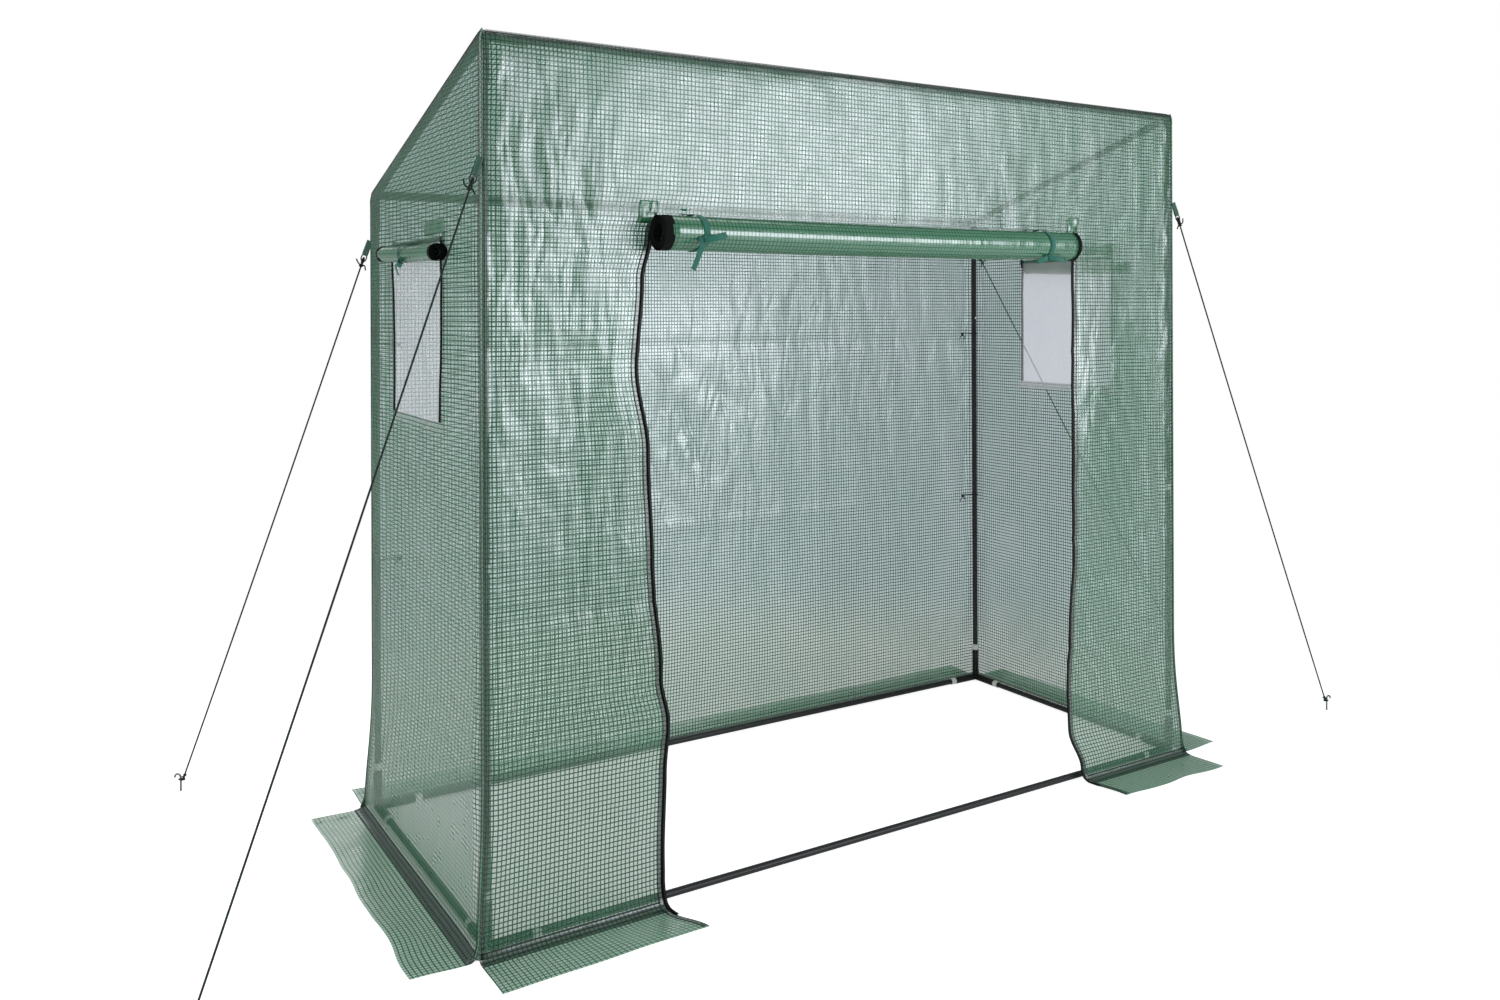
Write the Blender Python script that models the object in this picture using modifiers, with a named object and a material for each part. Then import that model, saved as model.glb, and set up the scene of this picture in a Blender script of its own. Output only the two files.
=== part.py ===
"""Mini walk-in greenhouse: push-fit steel tube frame, reinforced sheet cover,
roll-up door and side windows, ground skirts and guy ropes.

Metres, +Z up.  The origin is on the ground under the middle of the frame,
the tall front faces -Y, and +X runs to the right of the door.
"""
import math

import bmesh
import bpy
from mathutils import Matrix, Vector

# --- driving dimensions of the cover, outside to outside ---
COVER_WIDTH = 2.00
COVER_DEPTH = 0.81
FRONT_HEIGHT = 1.785
BACK_HEIGHT = 1.535
SHEET = 0.001
GAP = 0.0003
SKIRT_WIDTH = 0.13

# --- frame ---
TUBE_RADIUS = 0.008
TUBE_BORE = 0.0072
NECK_RADIUS = 0.0069
NECK_BORE = 0.0061
NECK_LENGTH = 0.04
HUB_RADIUS = 0.0105
SOCKET_RADIUS = 0.010
SOCKET_BORE = TUBE_RADIUS + GAP
SOCKET_LENGTH = 0.090
SOCKET_FLOOR = 0.018
TUBE_SETBACK = SOCKET_FLOOR + 0.001
FRONT_TUBE_JOINT_Z = 0.74

# --- door opening and its rolled sheet ---
DOOR_HALF_WIDTH = 0.610
DOOR_TOP = 1.440
ROLL_STANDOFF = 0.0065
DOOR_ROLL_RADIUS = 0.0375
DOOR_ROLL_WALL = 0.0018
DOOR_ROLL_HALF_LENGTH = 0.596
DOOR_ROLL_X = -0.046
DOOR_ROLL_Z = 1.398

# --- side windows ---
WINDOW_HALF_WIDTH = 0.185
WINDOW_BOTTOM = 1.007
WINDOW_TOP = 1.385
WINDOW_ROLL_RADIUS = 0.0195
WINDOW_ROLL_WALL = 0.0012
WINDOW_ROLL_HALF_LENGTH = 0.203
WINDOW_ROLL_Y = -0.017
WINDOW_ROLL_Z = 1.365

CURTAIN_OVERLAP = 0.008
CURTAIN_SETBACK = 0.008
WINDOW_CURTAIN_RISE = 0.010

# --- zip sliders ---
SLIDER_THICKNESS = 0.004
DOOR_SLIDER_X = {"left": -0.622, "right": 0.602}
DOOR_SLIDER_Z = 1.400
WINDOW_SLIDER_Z = 1.392

# --- guy ropes: where each leaves the cover and where its peg stands ---
ROPE_RADIUS = 0.002
TAB_LENGTH = 0.045
TAB_WIDTH = 0.014
TAB_THICKNESS = 0.0015
TAB_SETBACK = 0.0036
PEG_RADIUS = 0.0025
PEG_HEIGHT = 0.045
PEG_HOOK = 0.018
PEG_STANDOFF = 0.0065
ROPE_END_Z = 0.030
GUY_LINES = {
    "front_left": (-1, -1, 1.535, (-1.548, -0.513)),
    "front_right": (1, -1, 1.535, (1.680, -0.420)),
    "back_left": (-1, 1, 1.416, (-1.383, 0.788)),
    "back_right": (1, 1, 1.450, (1.990, 0.420)),
}

# --- mesh detail; the twist keeps one socket's facets clear of the next one's ---
TUBE_STEPS = 20
ARM_TWIST = math.radians(4)
ROLL_STEPS = 32
MERGE = 1e-5

# --- values worked out from the sizes above ---
HALF_WIDTH = COVER_WIDTH / 2
HALF_DEPTH = COVER_DEPTH / 2
SLOPE = (FRONT_HEIGHT - BACK_HEIGHT) / COVER_DEPTH
ROOF_ANGLE = math.atan(SLOPE)
SHEET_UPRIGHT = SHEET / math.cos(ROOF_ANGLE)
INSET = SHEET + GAP + HUB_RADIUS
AXIS_X = HALF_WIDTH - INSET
AXIS_Y = HALF_DEPTH - INSET
AXIS_Z = HUB_RADIUS
ROOF_INSET = (GAP + HUB_RADIUS) / math.cos(ROOF_ANGLE)
ROOF_DOWN = Vector((0, math.cos(ROOF_ANGLE), -math.sin(ROOF_ANGLE)))


def roof_top(y):
    """Height of the roof's outer face at depth y."""
    return FRONT_HEIGHT - SLOPE * (y + HALF_DEPTH)


def under_roof(y):
    """Height of the roof's inner face at depth y."""
    return roof_top(y) - SHEET_UPRIGHT


def top_axis_z(y):
    """Height of the top rails' centre line at depth y."""
    return under_roof(y) - ROOF_INSET


# --------------------------------------------------------------- helpers

def clear_scene():
    for item in list(bpy.data.objects):
        bpy.data.objects.remove(item)


def make_collection(name, parent):
    collection = bpy.data.collections.new(name)
    parent.children.link(collection)
    return collection


def make_material(name, colour, roughness, metallic=0.0, alpha=1.0):
    material = bpy.data.materials.new(name)
    material.use_nodes = True
    shader = material.node_tree.nodes["Principled BSDF"]
    shader.inputs["Base Color"].default_value = (*colour, 1.0)
    shader.inputs["Roughness"].default_value = roughness
    shader.inputs["Metallic"].default_value = metallic
    shader.inputs["Alpha"].default_value = alpha
    return material


def add_object(name, data, material):
    item = bpy.data.objects.new(name, data)
    data.materials.append(material)
    GREENHOUSE.objects.link(item)
    return item


def add_empty(name, place):
    empty = bpy.data.objects.new(name, None)
    empty.location = place
    GREENHOUSE.objects.link(empty)
    return empty


def mesh_from(bm, name):
    mesh = bpy.data.meshes.new(name)
    bm.to_mesh(mesh)
    bm.free()
    return mesh


def add_box(name, low, high, material):
    """A box between two corners, with its origin at its centre."""
    low, high = Vector(low), Vector(high)
    bm = bmesh.new()
    bmesh.ops.create_cube(bm, size=1.0, matrix=Matrix.Diagonal((*(high - low), 1.0)))
    item = add_object(name, mesh_from(bm, name), material)
    item.location = (low + high) / 2
    return item


def add_outline(name, loops, half_thickness, material):
    """A flat plate in local XY; the first loop is its edge, the others are holes."""
    curve = bpy.data.curves.new(name, "CURVE")
    curve.dimensions = "2D"
    curve.fill_mode = "BOTH"
    curve.extrude = half_thickness
    for loop in loops:
        spline = curve.splines.new("POLY")
        spline.points.add(len(loop) - 1)
        for point, (x, y) in zip(spline.points, loop):
            point.co = (x, y, 0.0, 1.0)
        spline.use_cyclic_u = True
    return add_object(name, curve, material)


def add_wire(name, points, radius, material, resolution=2):
    """A round wire through the points, with closed ends."""
    curve = bpy.data.curves.new(name, "CURVE")
    curve.dimensions = "3D"
    curve.bevel_depth = radius
    curve.bevel_resolution = resolution
    curve.use_fill_caps = True
    spline = curve.splines.new("POLY")
    spline.points.add(len(points) - 1)
    for point, place in zip(spline.points, points):
        point.co = (*place, 1.0)
    return add_object(name, curve, material)


def add_turned(name, profile, steps, material):
    """A closed (radius, height) profile turned about local Z."""
    mesh = bpy.data.meshes.new(name)
    corners = [(radius, 0.0, height) for radius, height in profile]
    count = len(corners)
    mesh.from_pydata(corners, [(i, (i + 1) % count) for i in range(count)], [])
    item = add_object(name, mesh, material)
    screw = item.modifiers.new("turn", "SCREW")
    screw.axis = "Z"
    screw.steps = steps
    screw.render_steps = steps
    screw.use_merge_vertices = True
    screw.merge_threshold = MERGE
    return item


def point_along(item, start, end):
    """Stand a piece made along +Z at start, aimed at end."""
    start, end = Vector(start), Vector(end)
    item.location = start
    item.rotation_euler = (end - start).to_track_quat("Z", "Y").to_euler()


def add_tube(name, start, end, material, neck=0.0):
    """A hollow tube; a neck reduces its start end so it plugs into the next tube."""
    length = (Vector(end) - Vector(start)).length
    if neck:
        profile = [(TUBE_RADIUS, length), (TUBE_RADIUS, 0.0), (NECK_RADIUS, 0.0),
                   (NECK_RADIUS, -neck), (NECK_BORE, -neck), (NECK_BORE, length)]
    else:
        profile = [(TUBE_RADIUS, length), (TUBE_RADIUS, 0.0), (TUBE_BORE, 0.0), (TUBE_BORE, length)]
    tube = add_turned(name, profile, TUBE_STEPS, material)
    point_along(tube, start, end)
    return tube


def combine(target, tool, operation):
    """Apply a boolean to the target and drop the tool."""
    boolean = target.modifiers.new("combine", "BOOLEAN")
    boolean.operation = operation
    boolean.solver = "EXACT"
    boolean.object = tool
    evaluated = target.evaluated_get(bpy.context.evaluated_depsgraph_get())
    mesh = bpy.data.meshes.new_from_object(evaluated)
    target.modifiers.clear()
    target.data = mesh
    bpy.data.objects.remove(tool)


def add_rod(name, radius, near, far, direction, twist, material):
    """A solid round rod between two distances along a direction from the origin."""
    turn = direction.to_track_quat("Z", "Y").to_matrix().to_4x4() @ Matrix.Rotation(twist, 4, "Z")
    shift = Matrix.Translation((0, 0, (near + far) / 2))
    bm = bmesh.new()
    bmesh.ops.create_cone(bm, cap_ends=True, segments=TUBE_STEPS, radius1=radius, radius2=radius,
                          depth=far - near, matrix=turn @ shift)
    return add_object(name, mesh_from(bm, name), material)


# ------------------------------------------------------------- sub-parts

def add_connector(name, corner, directions, material):
    """A moulded three-way corner: a round hub with one socket for each tube."""
    bm = bmesh.new()
    bmesh.ops.create_uvsphere(bm, u_segments=TUBE_STEPS, v_segments=TUBE_STEPS // 2, radius=HUB_RADIUS)
    connector = add_object(name, mesh_from(bm, name), material)
    for arm, direction in enumerate(directions):
        socket = add_rod("socket", SOCKET_RADIUS, 0.0, SOCKET_LENGTH, direction, arm * ARM_TWIST, material)
        combine(connector, socket, "UNION")
    for arm, direction in enumerate(directions):
        bore_end = SOCKET_LENGTH + HUB_RADIUS
        bore = add_rod("bore", SOCKET_BORE, SOCKET_FLOOR, bore_end, direction, arm * ARM_TWIST, material)
        combine(connector, bore, "DIFFERENCE")
    connector.location = corner


def add_frame(steel, plastic):
    up = Vector((0, 0, 1))
    for side, sx in (("left", -1), ("right", 1)):
        inward = Vector((-sx, 0, 0))
        for face, sy in (("front", -1), ("back", 1)):
            x, y = sx * AXIS_X, sy * AXIS_Y
            along_side = Vector((0, -sy, 0))
            along_roof = ROOF_DOWN * -sy
            low = Vector((x, y, AXIS_Z))
            high = Vector((x, y, top_axis_z(y)))
            add_connector(f"corner_bottom_{face}_{side}", low, (inward, along_side, up), plastic)
            add_connector(f"corner_top_{face}_{side}", high, (inward, along_roof, -up), plastic)
            foot, head = low + up * TUBE_SETBACK, high - up * TUBE_SETBACK
            if face == "front":
                middle = Vector((x, y, FRONT_TUBE_JOINT_Z))
                add_tube(f"upright_{face}_{side}_lower", foot, middle, steel)
                add_tube(f"upright_{face}_{side}_upper", middle + up * GAP, head, steel, NECK_LENGTH)
            else:
                add_tube(f"upright_{face}_{side}", foot, head, steel)
        x = sx * AXIS_X
        step = Vector((0, TUBE_SETBACK, 0))
        add_tube(f"rail_bottom_{side}", Vector((x, -AXIS_Y, AXIS_Z)) + step,
                 Vector((x, AXIS_Y, AXIS_Z)) - step, steel)
        add_tube(f"rail_roof_{side}", Vector((x, -AXIS_Y, top_axis_z(-AXIS_Y))) + ROOF_DOWN * TUBE_SETBACK,
                 Vector((x, AXIS_Y, top_axis_z(AXIS_Y))) - ROOF_DOWN * TUBE_SETBACK, steel)
    reach = AXIS_X - TUBE_SETBACK
    for face, sy in (("front", -1), ("back", 1)):
        y = sy * AXIS_Y
        for level, z in (("bottom", AXIS_Z), ("top", top_axis_z(y))):
            add_tube(f"rail_{level}_{face}", (-reach, y, z), (reach, y, z), steel)


def add_cover(sheet, net):
    inner_y = HALF_DEPTH - SHEET
    front_top = under_roof(-inner_y) - GAP
    back_top = under_roof(HALF_DEPTH) - GAP
    header_half = DOOR_HALF_WIDTH - GAP
    for side, sx in (("left", -1), ("right", 1)):
        xs = sorted((sx * HALF_WIDTH, sx * DOOR_HALF_WIDTH))
        add_box(f"cover_front_{side}", (xs[0], -HALF_DEPTH, 0), (xs[1], -inner_y, front_top), sheet)
    add_box("cover_front_header", (-header_half, -HALF_DEPTH, DOOR_TOP), (header_half, -inner_y, front_top), sheet)
    add_box("cover_back", (-HALF_WIDTH, inner_y, 0), (HALF_WIDTH, HALF_DEPTH, back_top), sheet)

    y = inner_y - GAP
    wall = [(-y, 0), (y, 0), (y, under_roof(y) - GAP), (-y, under_roof(-y) - GAP)]
    hole = [(-WINDOW_HALF_WIDTH, WINDOW_BOTTOM), (-WINDOW_HALF_WIDTH, WINDOW_TOP),
            (WINDOW_HALF_WIDTH, WINDOW_TOP), (WINDOW_HALF_WIDTH, WINDOW_BOTTOM)]
    upright_plate = Matrix(((0, 0, 1), (1, 0, 0), (0, 1, 0))).to_euler()
    net_half = WINDOW_HALF_WIDTH - GAP
    for side, sx in (("left", -1), ("right", 1)):
        panel = add_outline(f"cover_{side}_wall", [wall, hole], SHEET / 2, sheet)
        panel.rotation_euler = upright_plate
        panel.location.x = sx * (HALF_WIDTH - SHEET / 2)
        xs = sorted((sx * HALF_WIDTH, sx * (HALF_WIDTH - SHEET)))
        add_box(f"window_net_{side}", (xs[0], -net_half, WINDOW_BOTTOM + GAP),
                (xs[1], net_half, WINDOW_TOP - GAP), net)

    roof = add_outline("cover_roof", [[
        (-HALF_DEPTH, under_roof(-HALF_DEPTH)), (HALF_DEPTH, under_roof(HALF_DEPTH)),
        (HALF_DEPTH, roof_top(HALF_DEPTH)), (-HALF_DEPTH, roof_top(-HALF_DEPTH))]], HALF_WIDTH, sheet)
    roof.rotation_euler = upright_plate


def add_skirts(sheet):
    """Strips that lie on the ground outside the walls, to be weighted with soil."""
    near_y, far_y = HALF_DEPTH + GAP, HALF_DEPTH + SKIRT_WIDTH
    near_x, far_x = HALF_WIDTH + GAP, HALF_WIDTH + SKIRT_WIDTH
    add_box("skirt_back", (-HALF_WIDTH, near_y, 0), (HALF_WIDTH, far_y, SHEET), sheet)
    for side, sx in (("left", -1), ("right", 1)):
        xs = sorted((sx * near_x, sx * far_x))
        add_box(f"skirt_{side}", (xs[0], -HALF_DEPTH, 0), (xs[1], HALF_DEPTH, SHEET), sheet)
        xs = sorted((sx * HALF_WIDTH, sx * DOOR_HALF_WIDTH))
        add_box(f"skirt_front_{side}", (xs[0], -far_y, 0), (xs[1], -near_y, SHEET), sheet)


def add_roll(name, middle, half_length, direction, radius, wall, material):
    """A sheet rolled up on itself: a thick-walled tube that is open at both ends."""
    profile = [(radius, half_length), (radius, -half_length),
               (radius - wall, -half_length), (radius - wall, half_length)]
    roll = add_turned(name, profile, ROLL_STEPS, material)
    place = add_empty(f"{name}_slide", middle)
    roll.rotation_euler = direction.to_track_quat("Z", "Y").to_euler()
    roll.parent = place


def slider_outline():
    """Half of a zip slider with its pull tab, mirrored into a closed outline."""
    half = [(0.003, 0.010), (0.0045, 0.008), (0.0035, 0.0), (0.0018, -0.001), (0.0025, -0.020), (0.0015, -0.022)]
    return half + [(-x, z) for x, z in reversed(half)]


def add_slider(name, middle, outward, material):
    slider = add_outline(name, [slider_outline()], SLIDER_THICKNESS / 2, material)
    upright = Vector((0, 0, 1))
    across = upright.cross(outward)
    slider.rotation_euler = Matrix((across, upright, outward)).transposed().to_euler()
    slider.parent = add_empty(f"{name}_slide", middle)


def add_door(sheet, rolled, zip_metal):
    roll_y = -(HALF_DEPTH + ROLL_STANDOFF + DOOR_ROLL_RADIUS)
    slider_y = -(HALF_DEPTH + GAP + SLIDER_THICKNESS / 2)
    half = DOOR_HALF_WIDTH - 2 * GAP
    add_box("door_curtain", (-half, -HALF_DEPTH, DOOR_ROLL_Z - CURTAIN_OVERLAP),
            (half, -HALF_DEPTH + SHEET, DOOR_TOP - GAP), sheet)
    add_roll("door_roll", (DOOR_ROLL_X, roll_y, DOOR_ROLL_Z), DOOR_ROLL_HALF_LENGTH, Vector((1, 0, 0)),
             DOOR_ROLL_RADIUS, DOOR_ROLL_WALL, rolled)
    for side, slider_x in DOOR_SLIDER_X.items():
        add_slider(f"door_zip_slider_{side}", (slider_x, slider_y, DOOR_SLIDER_Z),
                   Vector((0, -1, 0)), zip_metal)


def add_windows(sheet, rolled, zip_metal):
    for side, sx in (("left", -1), ("right", 1)):
        roll_x = sx * (HALF_WIDTH + ROLL_STANDOFF + WINDOW_ROLL_RADIUS)
        slider_x = sx * (HALF_WIDTH + GAP + SLIDER_THICKNESS / 2)
        near, far = HALF_WIDTH + GAP, HALF_WIDTH + GAP + SHEET
        xs = sorted((sx * near, sx * far))
        add_roll(f"window_roll_{side}", (roll_x, WINDOW_ROLL_Y, WINDOW_ROLL_Z), WINDOW_ROLL_HALF_LENGTH,
                 Vector((0, 1, 0)), WINDOW_ROLL_RADIUS, WINDOW_ROLL_WALL, rolled)
        half = WINDOW_HALF_WIDTH - CURTAIN_SETBACK
        add_box(f"window_curtain_{side}", (xs[0], -half, WINDOW_ROLL_Z - CURTAIN_OVERLAP),
                (xs[1], half, WINDOW_TOP + WINDOW_CURTAIN_RISE), sheet)
        for end, sy in (("front", -1), ("back", 1)):
            add_slider(f"window_zip_slider_{side}_{end}", (slider_x, sy * WINDOW_HALF_WIDTH, WINDOW_SLIDER_Z),
                       Vector((sx, 0, 0)), zip_metal)


def add_peg(name, ground, lean, steel):
    """The part of a ground peg that stands clear: a rod bent over into a hook."""
    x, y = ground
    hook = []
    for turn in range(0, 181, 30):
        angle = math.radians(turn)
        out = PEG_HOOK / 2 * (1 - math.cos(angle))
        rise = PEG_HEIGHT - PEG_HOOK / 2 - PEG_RADIUS + PEG_HOOK / 2 * math.sin(angle)
        hook.append((x + lean.x * out, y + lean.y * out, rise))
    add_wire(name, [(x, y, 0.0)] + hook, PEG_RADIUS, steel)


def add_guy_line(label, corner_x, corner_y, height, ground, webbing, cord, steel):
    """A webbing tab on the cover's corner, a taut rope and the peg that holds it."""
    corner = Vector((corner_x * HALF_WIDTH, corner_y * HALF_DEPTH, height))
    anchor = Vector((*ground, ROPE_END_Z))
    pull = (anchor - corner).normalized()
    tab_start = corner + pull * TAB_SETBACK
    tab_end = tab_start + pull * TAB_LENGTH
    tab = add_outline(f"guy_tab_{label}", [[
        (-TAB_WIDTH / 2, -TAB_LENGTH / 2), (TAB_WIDTH / 2, -TAB_LENGTH / 2),
        (TAB_WIDTH / 2, TAB_LENGTH / 2), (-TAB_WIDTH / 2, TAB_LENGTH / 2)]], TAB_THICKNESS / 2, webbing)
    flat = Vector((corner_x, -corner_y, 0)).normalized()
    across = (flat - pull * flat.dot(pull)).normalized()
    tab.rotation_euler = Matrix((across, pull, across.cross(pull))).transposed().to_euler()
    tab.location = (tab_start + tab_end) / 2
    add_wire(f"guy_rope_{label}", [tab_end + pull * GAP, anchor], ROPE_RADIUS, cord)
    lean = Vector((pull.x, pull.y, 0)).normalized()
    add_peg(f"guy_peg_{label}", Vector(ground) + lean.xy * PEG_STANDOFF, lean, steel)


def build():
    steel = make_material("frame_steel", (0.012, 0.013, 0.014), 0.35, metallic=0.6)
    plastic = make_material("connector_plastic", (0.015, 0.015, 0.016), 0.55)
    sheet = make_material("cover_sheet", (0.22, 0.42, 0.31), 0.35, alpha=0.7)
    rolled = make_material("rolled_sheet", (0.13, 0.40, 0.22), 0.30)
    net = make_material("insect_net", (0.80, 0.80, 0.84), 0.70, alpha=0.8)
    cord = make_material("guy_cord", (0.05, 0.06, 0.06), 0.80)
    webbing = make_material("tie_webbing", (0.02, 0.28, 0.19), 0.75)
    zip_metal = make_material("zip_black", (0.02, 0.02, 0.02), 0.40, metallic=0.3)
    peg_steel = make_material("peg_steel", (0.55, 0.56, 0.58), 0.35, metallic=0.9)

    add_frame(steel, plastic)
    add_cover(sheet, net)
    add_skirts(sheet)
    add_door(sheet, rolled, zip_metal)
    add_windows(sheet, rolled, zip_metal)
    for label, (corner_x, corner_y, height, ground) in GUY_LINES.items():
        add_guy_line(label, corner_x, corner_y, height, ground, webbing, cord, peg_steel)


clear_scene()
GREENHOUSE = make_collection("mini_greenhouse", bpy.context.scene.collection)
build()
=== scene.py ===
"""Looks of the mini walk-in greenhouse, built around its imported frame.

Metres, +Z up.  The front faces -Y and the origin is on the ground.
"""
import math

import bpy
import numpy as np
from mathutils import Euler, Matrix, Vector


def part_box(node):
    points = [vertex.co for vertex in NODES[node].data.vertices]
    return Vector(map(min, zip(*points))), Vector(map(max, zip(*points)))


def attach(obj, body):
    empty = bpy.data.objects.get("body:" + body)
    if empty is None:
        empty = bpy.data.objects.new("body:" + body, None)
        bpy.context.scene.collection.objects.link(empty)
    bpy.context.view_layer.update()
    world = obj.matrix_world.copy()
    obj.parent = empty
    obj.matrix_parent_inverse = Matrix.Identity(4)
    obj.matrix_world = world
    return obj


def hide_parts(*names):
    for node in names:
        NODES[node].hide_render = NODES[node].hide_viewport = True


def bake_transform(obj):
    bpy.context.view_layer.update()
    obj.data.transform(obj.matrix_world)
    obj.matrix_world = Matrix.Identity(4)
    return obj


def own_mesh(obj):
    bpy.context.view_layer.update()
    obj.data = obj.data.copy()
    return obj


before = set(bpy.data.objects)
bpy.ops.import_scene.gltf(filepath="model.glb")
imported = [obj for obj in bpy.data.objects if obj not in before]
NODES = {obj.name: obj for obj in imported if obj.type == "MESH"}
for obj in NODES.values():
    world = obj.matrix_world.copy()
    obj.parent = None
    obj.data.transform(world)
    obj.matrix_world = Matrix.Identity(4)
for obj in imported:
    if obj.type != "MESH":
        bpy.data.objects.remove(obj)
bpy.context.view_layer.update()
scene = bpy.context.scene

# --------------------------------------------------------------- sizes

HALF_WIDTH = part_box("cover_roof")[1].x
HALF_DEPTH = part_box("cover_back")[1].y
FRONT_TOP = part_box("cover_roof")[1].z
BACK_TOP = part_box("cover_back")[1].z
DOOR_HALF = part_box("cover_front_right")[0].x
DOOR_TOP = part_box("cover_front_header")[0].z
NET_LOW, NET_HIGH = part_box("window_net_left")
SLOPE = (FRONT_TOP - BACK_TOP) / (2 * HALF_DEPTH)
ROOF_ANGLE = math.atan(SLOPE)
ROOF_LENGTH = 2 * HALF_DEPTH / math.cos(ROOF_ANGLE)
RIGHT_ANGLE = math.pi / 2

EDGE_RADIUS = 0.012      # of the cover where it turns over a tube
FOLD_RADIUS = 0.018      # of the cover where it turns out into a skirt
GROUND = 0.0012          # height of a skirt lying on the floor
SKIRT = 0.128            # a skirt's reach from the wall
FLARE = 0.016            # how far the loose bottom of the cover stands out
CELL_ACROSS, CELL_UP = 0.0092, 0.0097

# --------------------------------------------------------------- camera

camera_data = bpy.data.cameras.new("camera")
camera_data.sensor_width = 36.0
camera_data.lens = 29.005
camera_data.shift_y = -0.12587
camera = bpy.data.objects.new("camera", camera_data)
scene.collection.objects.link(camera)
turn = Euler((RIGHT_ANGLE, 0, math.radians(-31.93))).to_matrix()
turn = turn @ Matrix.Rotation(math.radians(-0.22), 3, "Z")
camera.matrix_world = (
    Matrix.Translation((-1.7878, -2.6438, 1.2354)) @ turn.to_4x4()
)
scene.camera = camera

# --------------------------------------------------------------- noise and curves in numbers


def ease(t):
    t = np.clip(t, 0, 1)
    return t * t * (3 - 2 * t)


def lattice(ix, iy, seed):
    """A repeatable angle for each corner of a square lattice."""
    n = (ix * 374761393 + iy * 668265263 + seed * 974634777) & 0xFFFFFFFF
    n = ((n ^ (n >> 13)) * 1274126177) & 0xFFFFFFFF
    n = n ^ (n >> 16)
    return n * (2 * math.pi / 0xFFFFFFFF)


def noise(x, y, seed):
    """Smooth gradient noise, about -1 to 1, one bump a unit."""
    x, y = np.broadcast_arrays(np.asarray(x, float), np.asarray(y, float))
    ix, iy = np.floor(x).astype(np.int64), np.floor(y).astype(np.int64)
    fx, fy = x - ix, y - iy
    wx, wy = ease(fx), ease(fy)

    def corner(dx, dy):
        angle = lattice(ix + dx, iy + dy, seed)
        return np.cos(angle) * (fx - dx) + np.sin(angle) * (fy - dy)

    low = corner(0, 0) * (1 - wx) + corner(1, 0) * wx
    high = corner(0, 1) * (1 - wx) + corner(1, 1) * wx
    return 1.5 * (low * (1 - wy) + high * wy)


def ridge(x, y, seed, soft=0.06):
    """Creases: 1 along sharp winding lines, falling away on both sides."""
    n = noise(x, y, seed)
    return 1 - np.sqrt(n * n + soft * soft) / 0.6


def fold_line(d, depth, width=0.012):
    """The straight crease that packing leaves, at distance d from it."""
    return depth * np.exp(-np.sqrt(d * d + 1e-6) / width)


def rumple(s, t, seed, sharp=0.5):
    """How far loose sheet stands out of its plane at (s, t), in metres."""
    bend = 0.05 * noise(s / 0.3, t / 0.3, seed + 1)
    out = 0.0055 * noise(s / 0.55, t / 0.7, seed)
    out += 0.0025 * noise(s / 0.2, t / 0.33, seed + 2)
    patch = ease(0.5 + 1.2 * noise(s / 0.35, t / 0.45, seed + 3))
    out += 0.0040 * sharp * patch * ridge((s + bend) / 0.085, (t - s * 0.25) / 0.36, seed + 4)
    patch = ease(0.4 + 1.2 * noise(s / 0.4, t / 0.4, seed + 5))
    a, b = 0.80 * s + 0.60 * t, 0.80 * t - 0.60 * s
    out += 0.0034 * sharp * patch * ridge((a + bend) / 0.12, b / 0.40, seed + 6)
    a, b = 0.75 * s - 0.66 * t, 0.75 * t + 0.66 * s
    patch = ease(0.4 + 1.2 * noise(s / 0.3, t / 0.5, seed + 7))
    out += 0.0028 * sharp * patch * ridge((a - bend) / 0.09, b / 0.30, seed + 8)
    out += 0.0012 * sharp * noise(s / 0.035, t / 0.07, seed + 9)
    return out


# --------------------------------------------------------------- the cover's shape

SIDES = {
    "front": dict(
        along=(1, 0, 0), out=(0, -1, 0), reach=HALF_DEPTH, half=HALF_WIDTH,
        turn=RIGHT_ANGLE + ROOF_ANGLE, seed=11,
    ),
    "back": dict(
        along=(1, 0, 0), out=(0, 1, 0), reach=HALF_DEPTH, half=HALF_WIDTH,
        turn=RIGHT_ANGLE - ROOF_ANGLE, seed=211,
    ),
    "left": dict(
        along=(0, 1, 0), out=(-1, 0, 0), reach=HALF_WIDTH, half=HALF_DEPTH,
        turn=RIGHT_ANGLE, seed=431,
    ),
    "right": dict(
        along=(0, 1, 0), out=(1, 0, 0), reach=HALF_WIDTH, half=HALF_DEPTH,
        turn=RIGHT_ANGLE, seed=641,
    ),
}


def top_of(side, s):
    """Height of a side's top edge."""
    if side == "front":
        return FRONT_TOP + 0 * s
    if side == "back":
        return BACK_TOP + 0 * s
    return FRONT_TOP - SLOPE * (s + HALF_DEPTH)


def rounding(d, angle):
    """How a point d from an edge that turns by angle moves: back from the edge, and inward."""
    tangent = EDGE_RADIUS * math.tan(angle / 2)
    phi = (1 - np.clip(d / tangent, 0, 1)) * angle / 2
    back = np.where(d < tangent, tangent - EDGE_RADIUS * np.sin(phi) - d, 0)
    return back, EDGE_RADIUS * (1 - np.cos(phi))


def door_wave(t, marks):
    """Sideways wander of a door edge, eased between measured marks."""
    heights, moves = zip(*marks)
    i = np.clip(np.searchsorted(heights, t) - 1, 0, len(heights) - 2)
    heights, moves = np.array(heights), np.array(moves)
    w = ease((t - heights[i]) / (heights[i + 1] - heights[i]))
    return moves[i] * (1 - w) + moves[i + 1] * w


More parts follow.
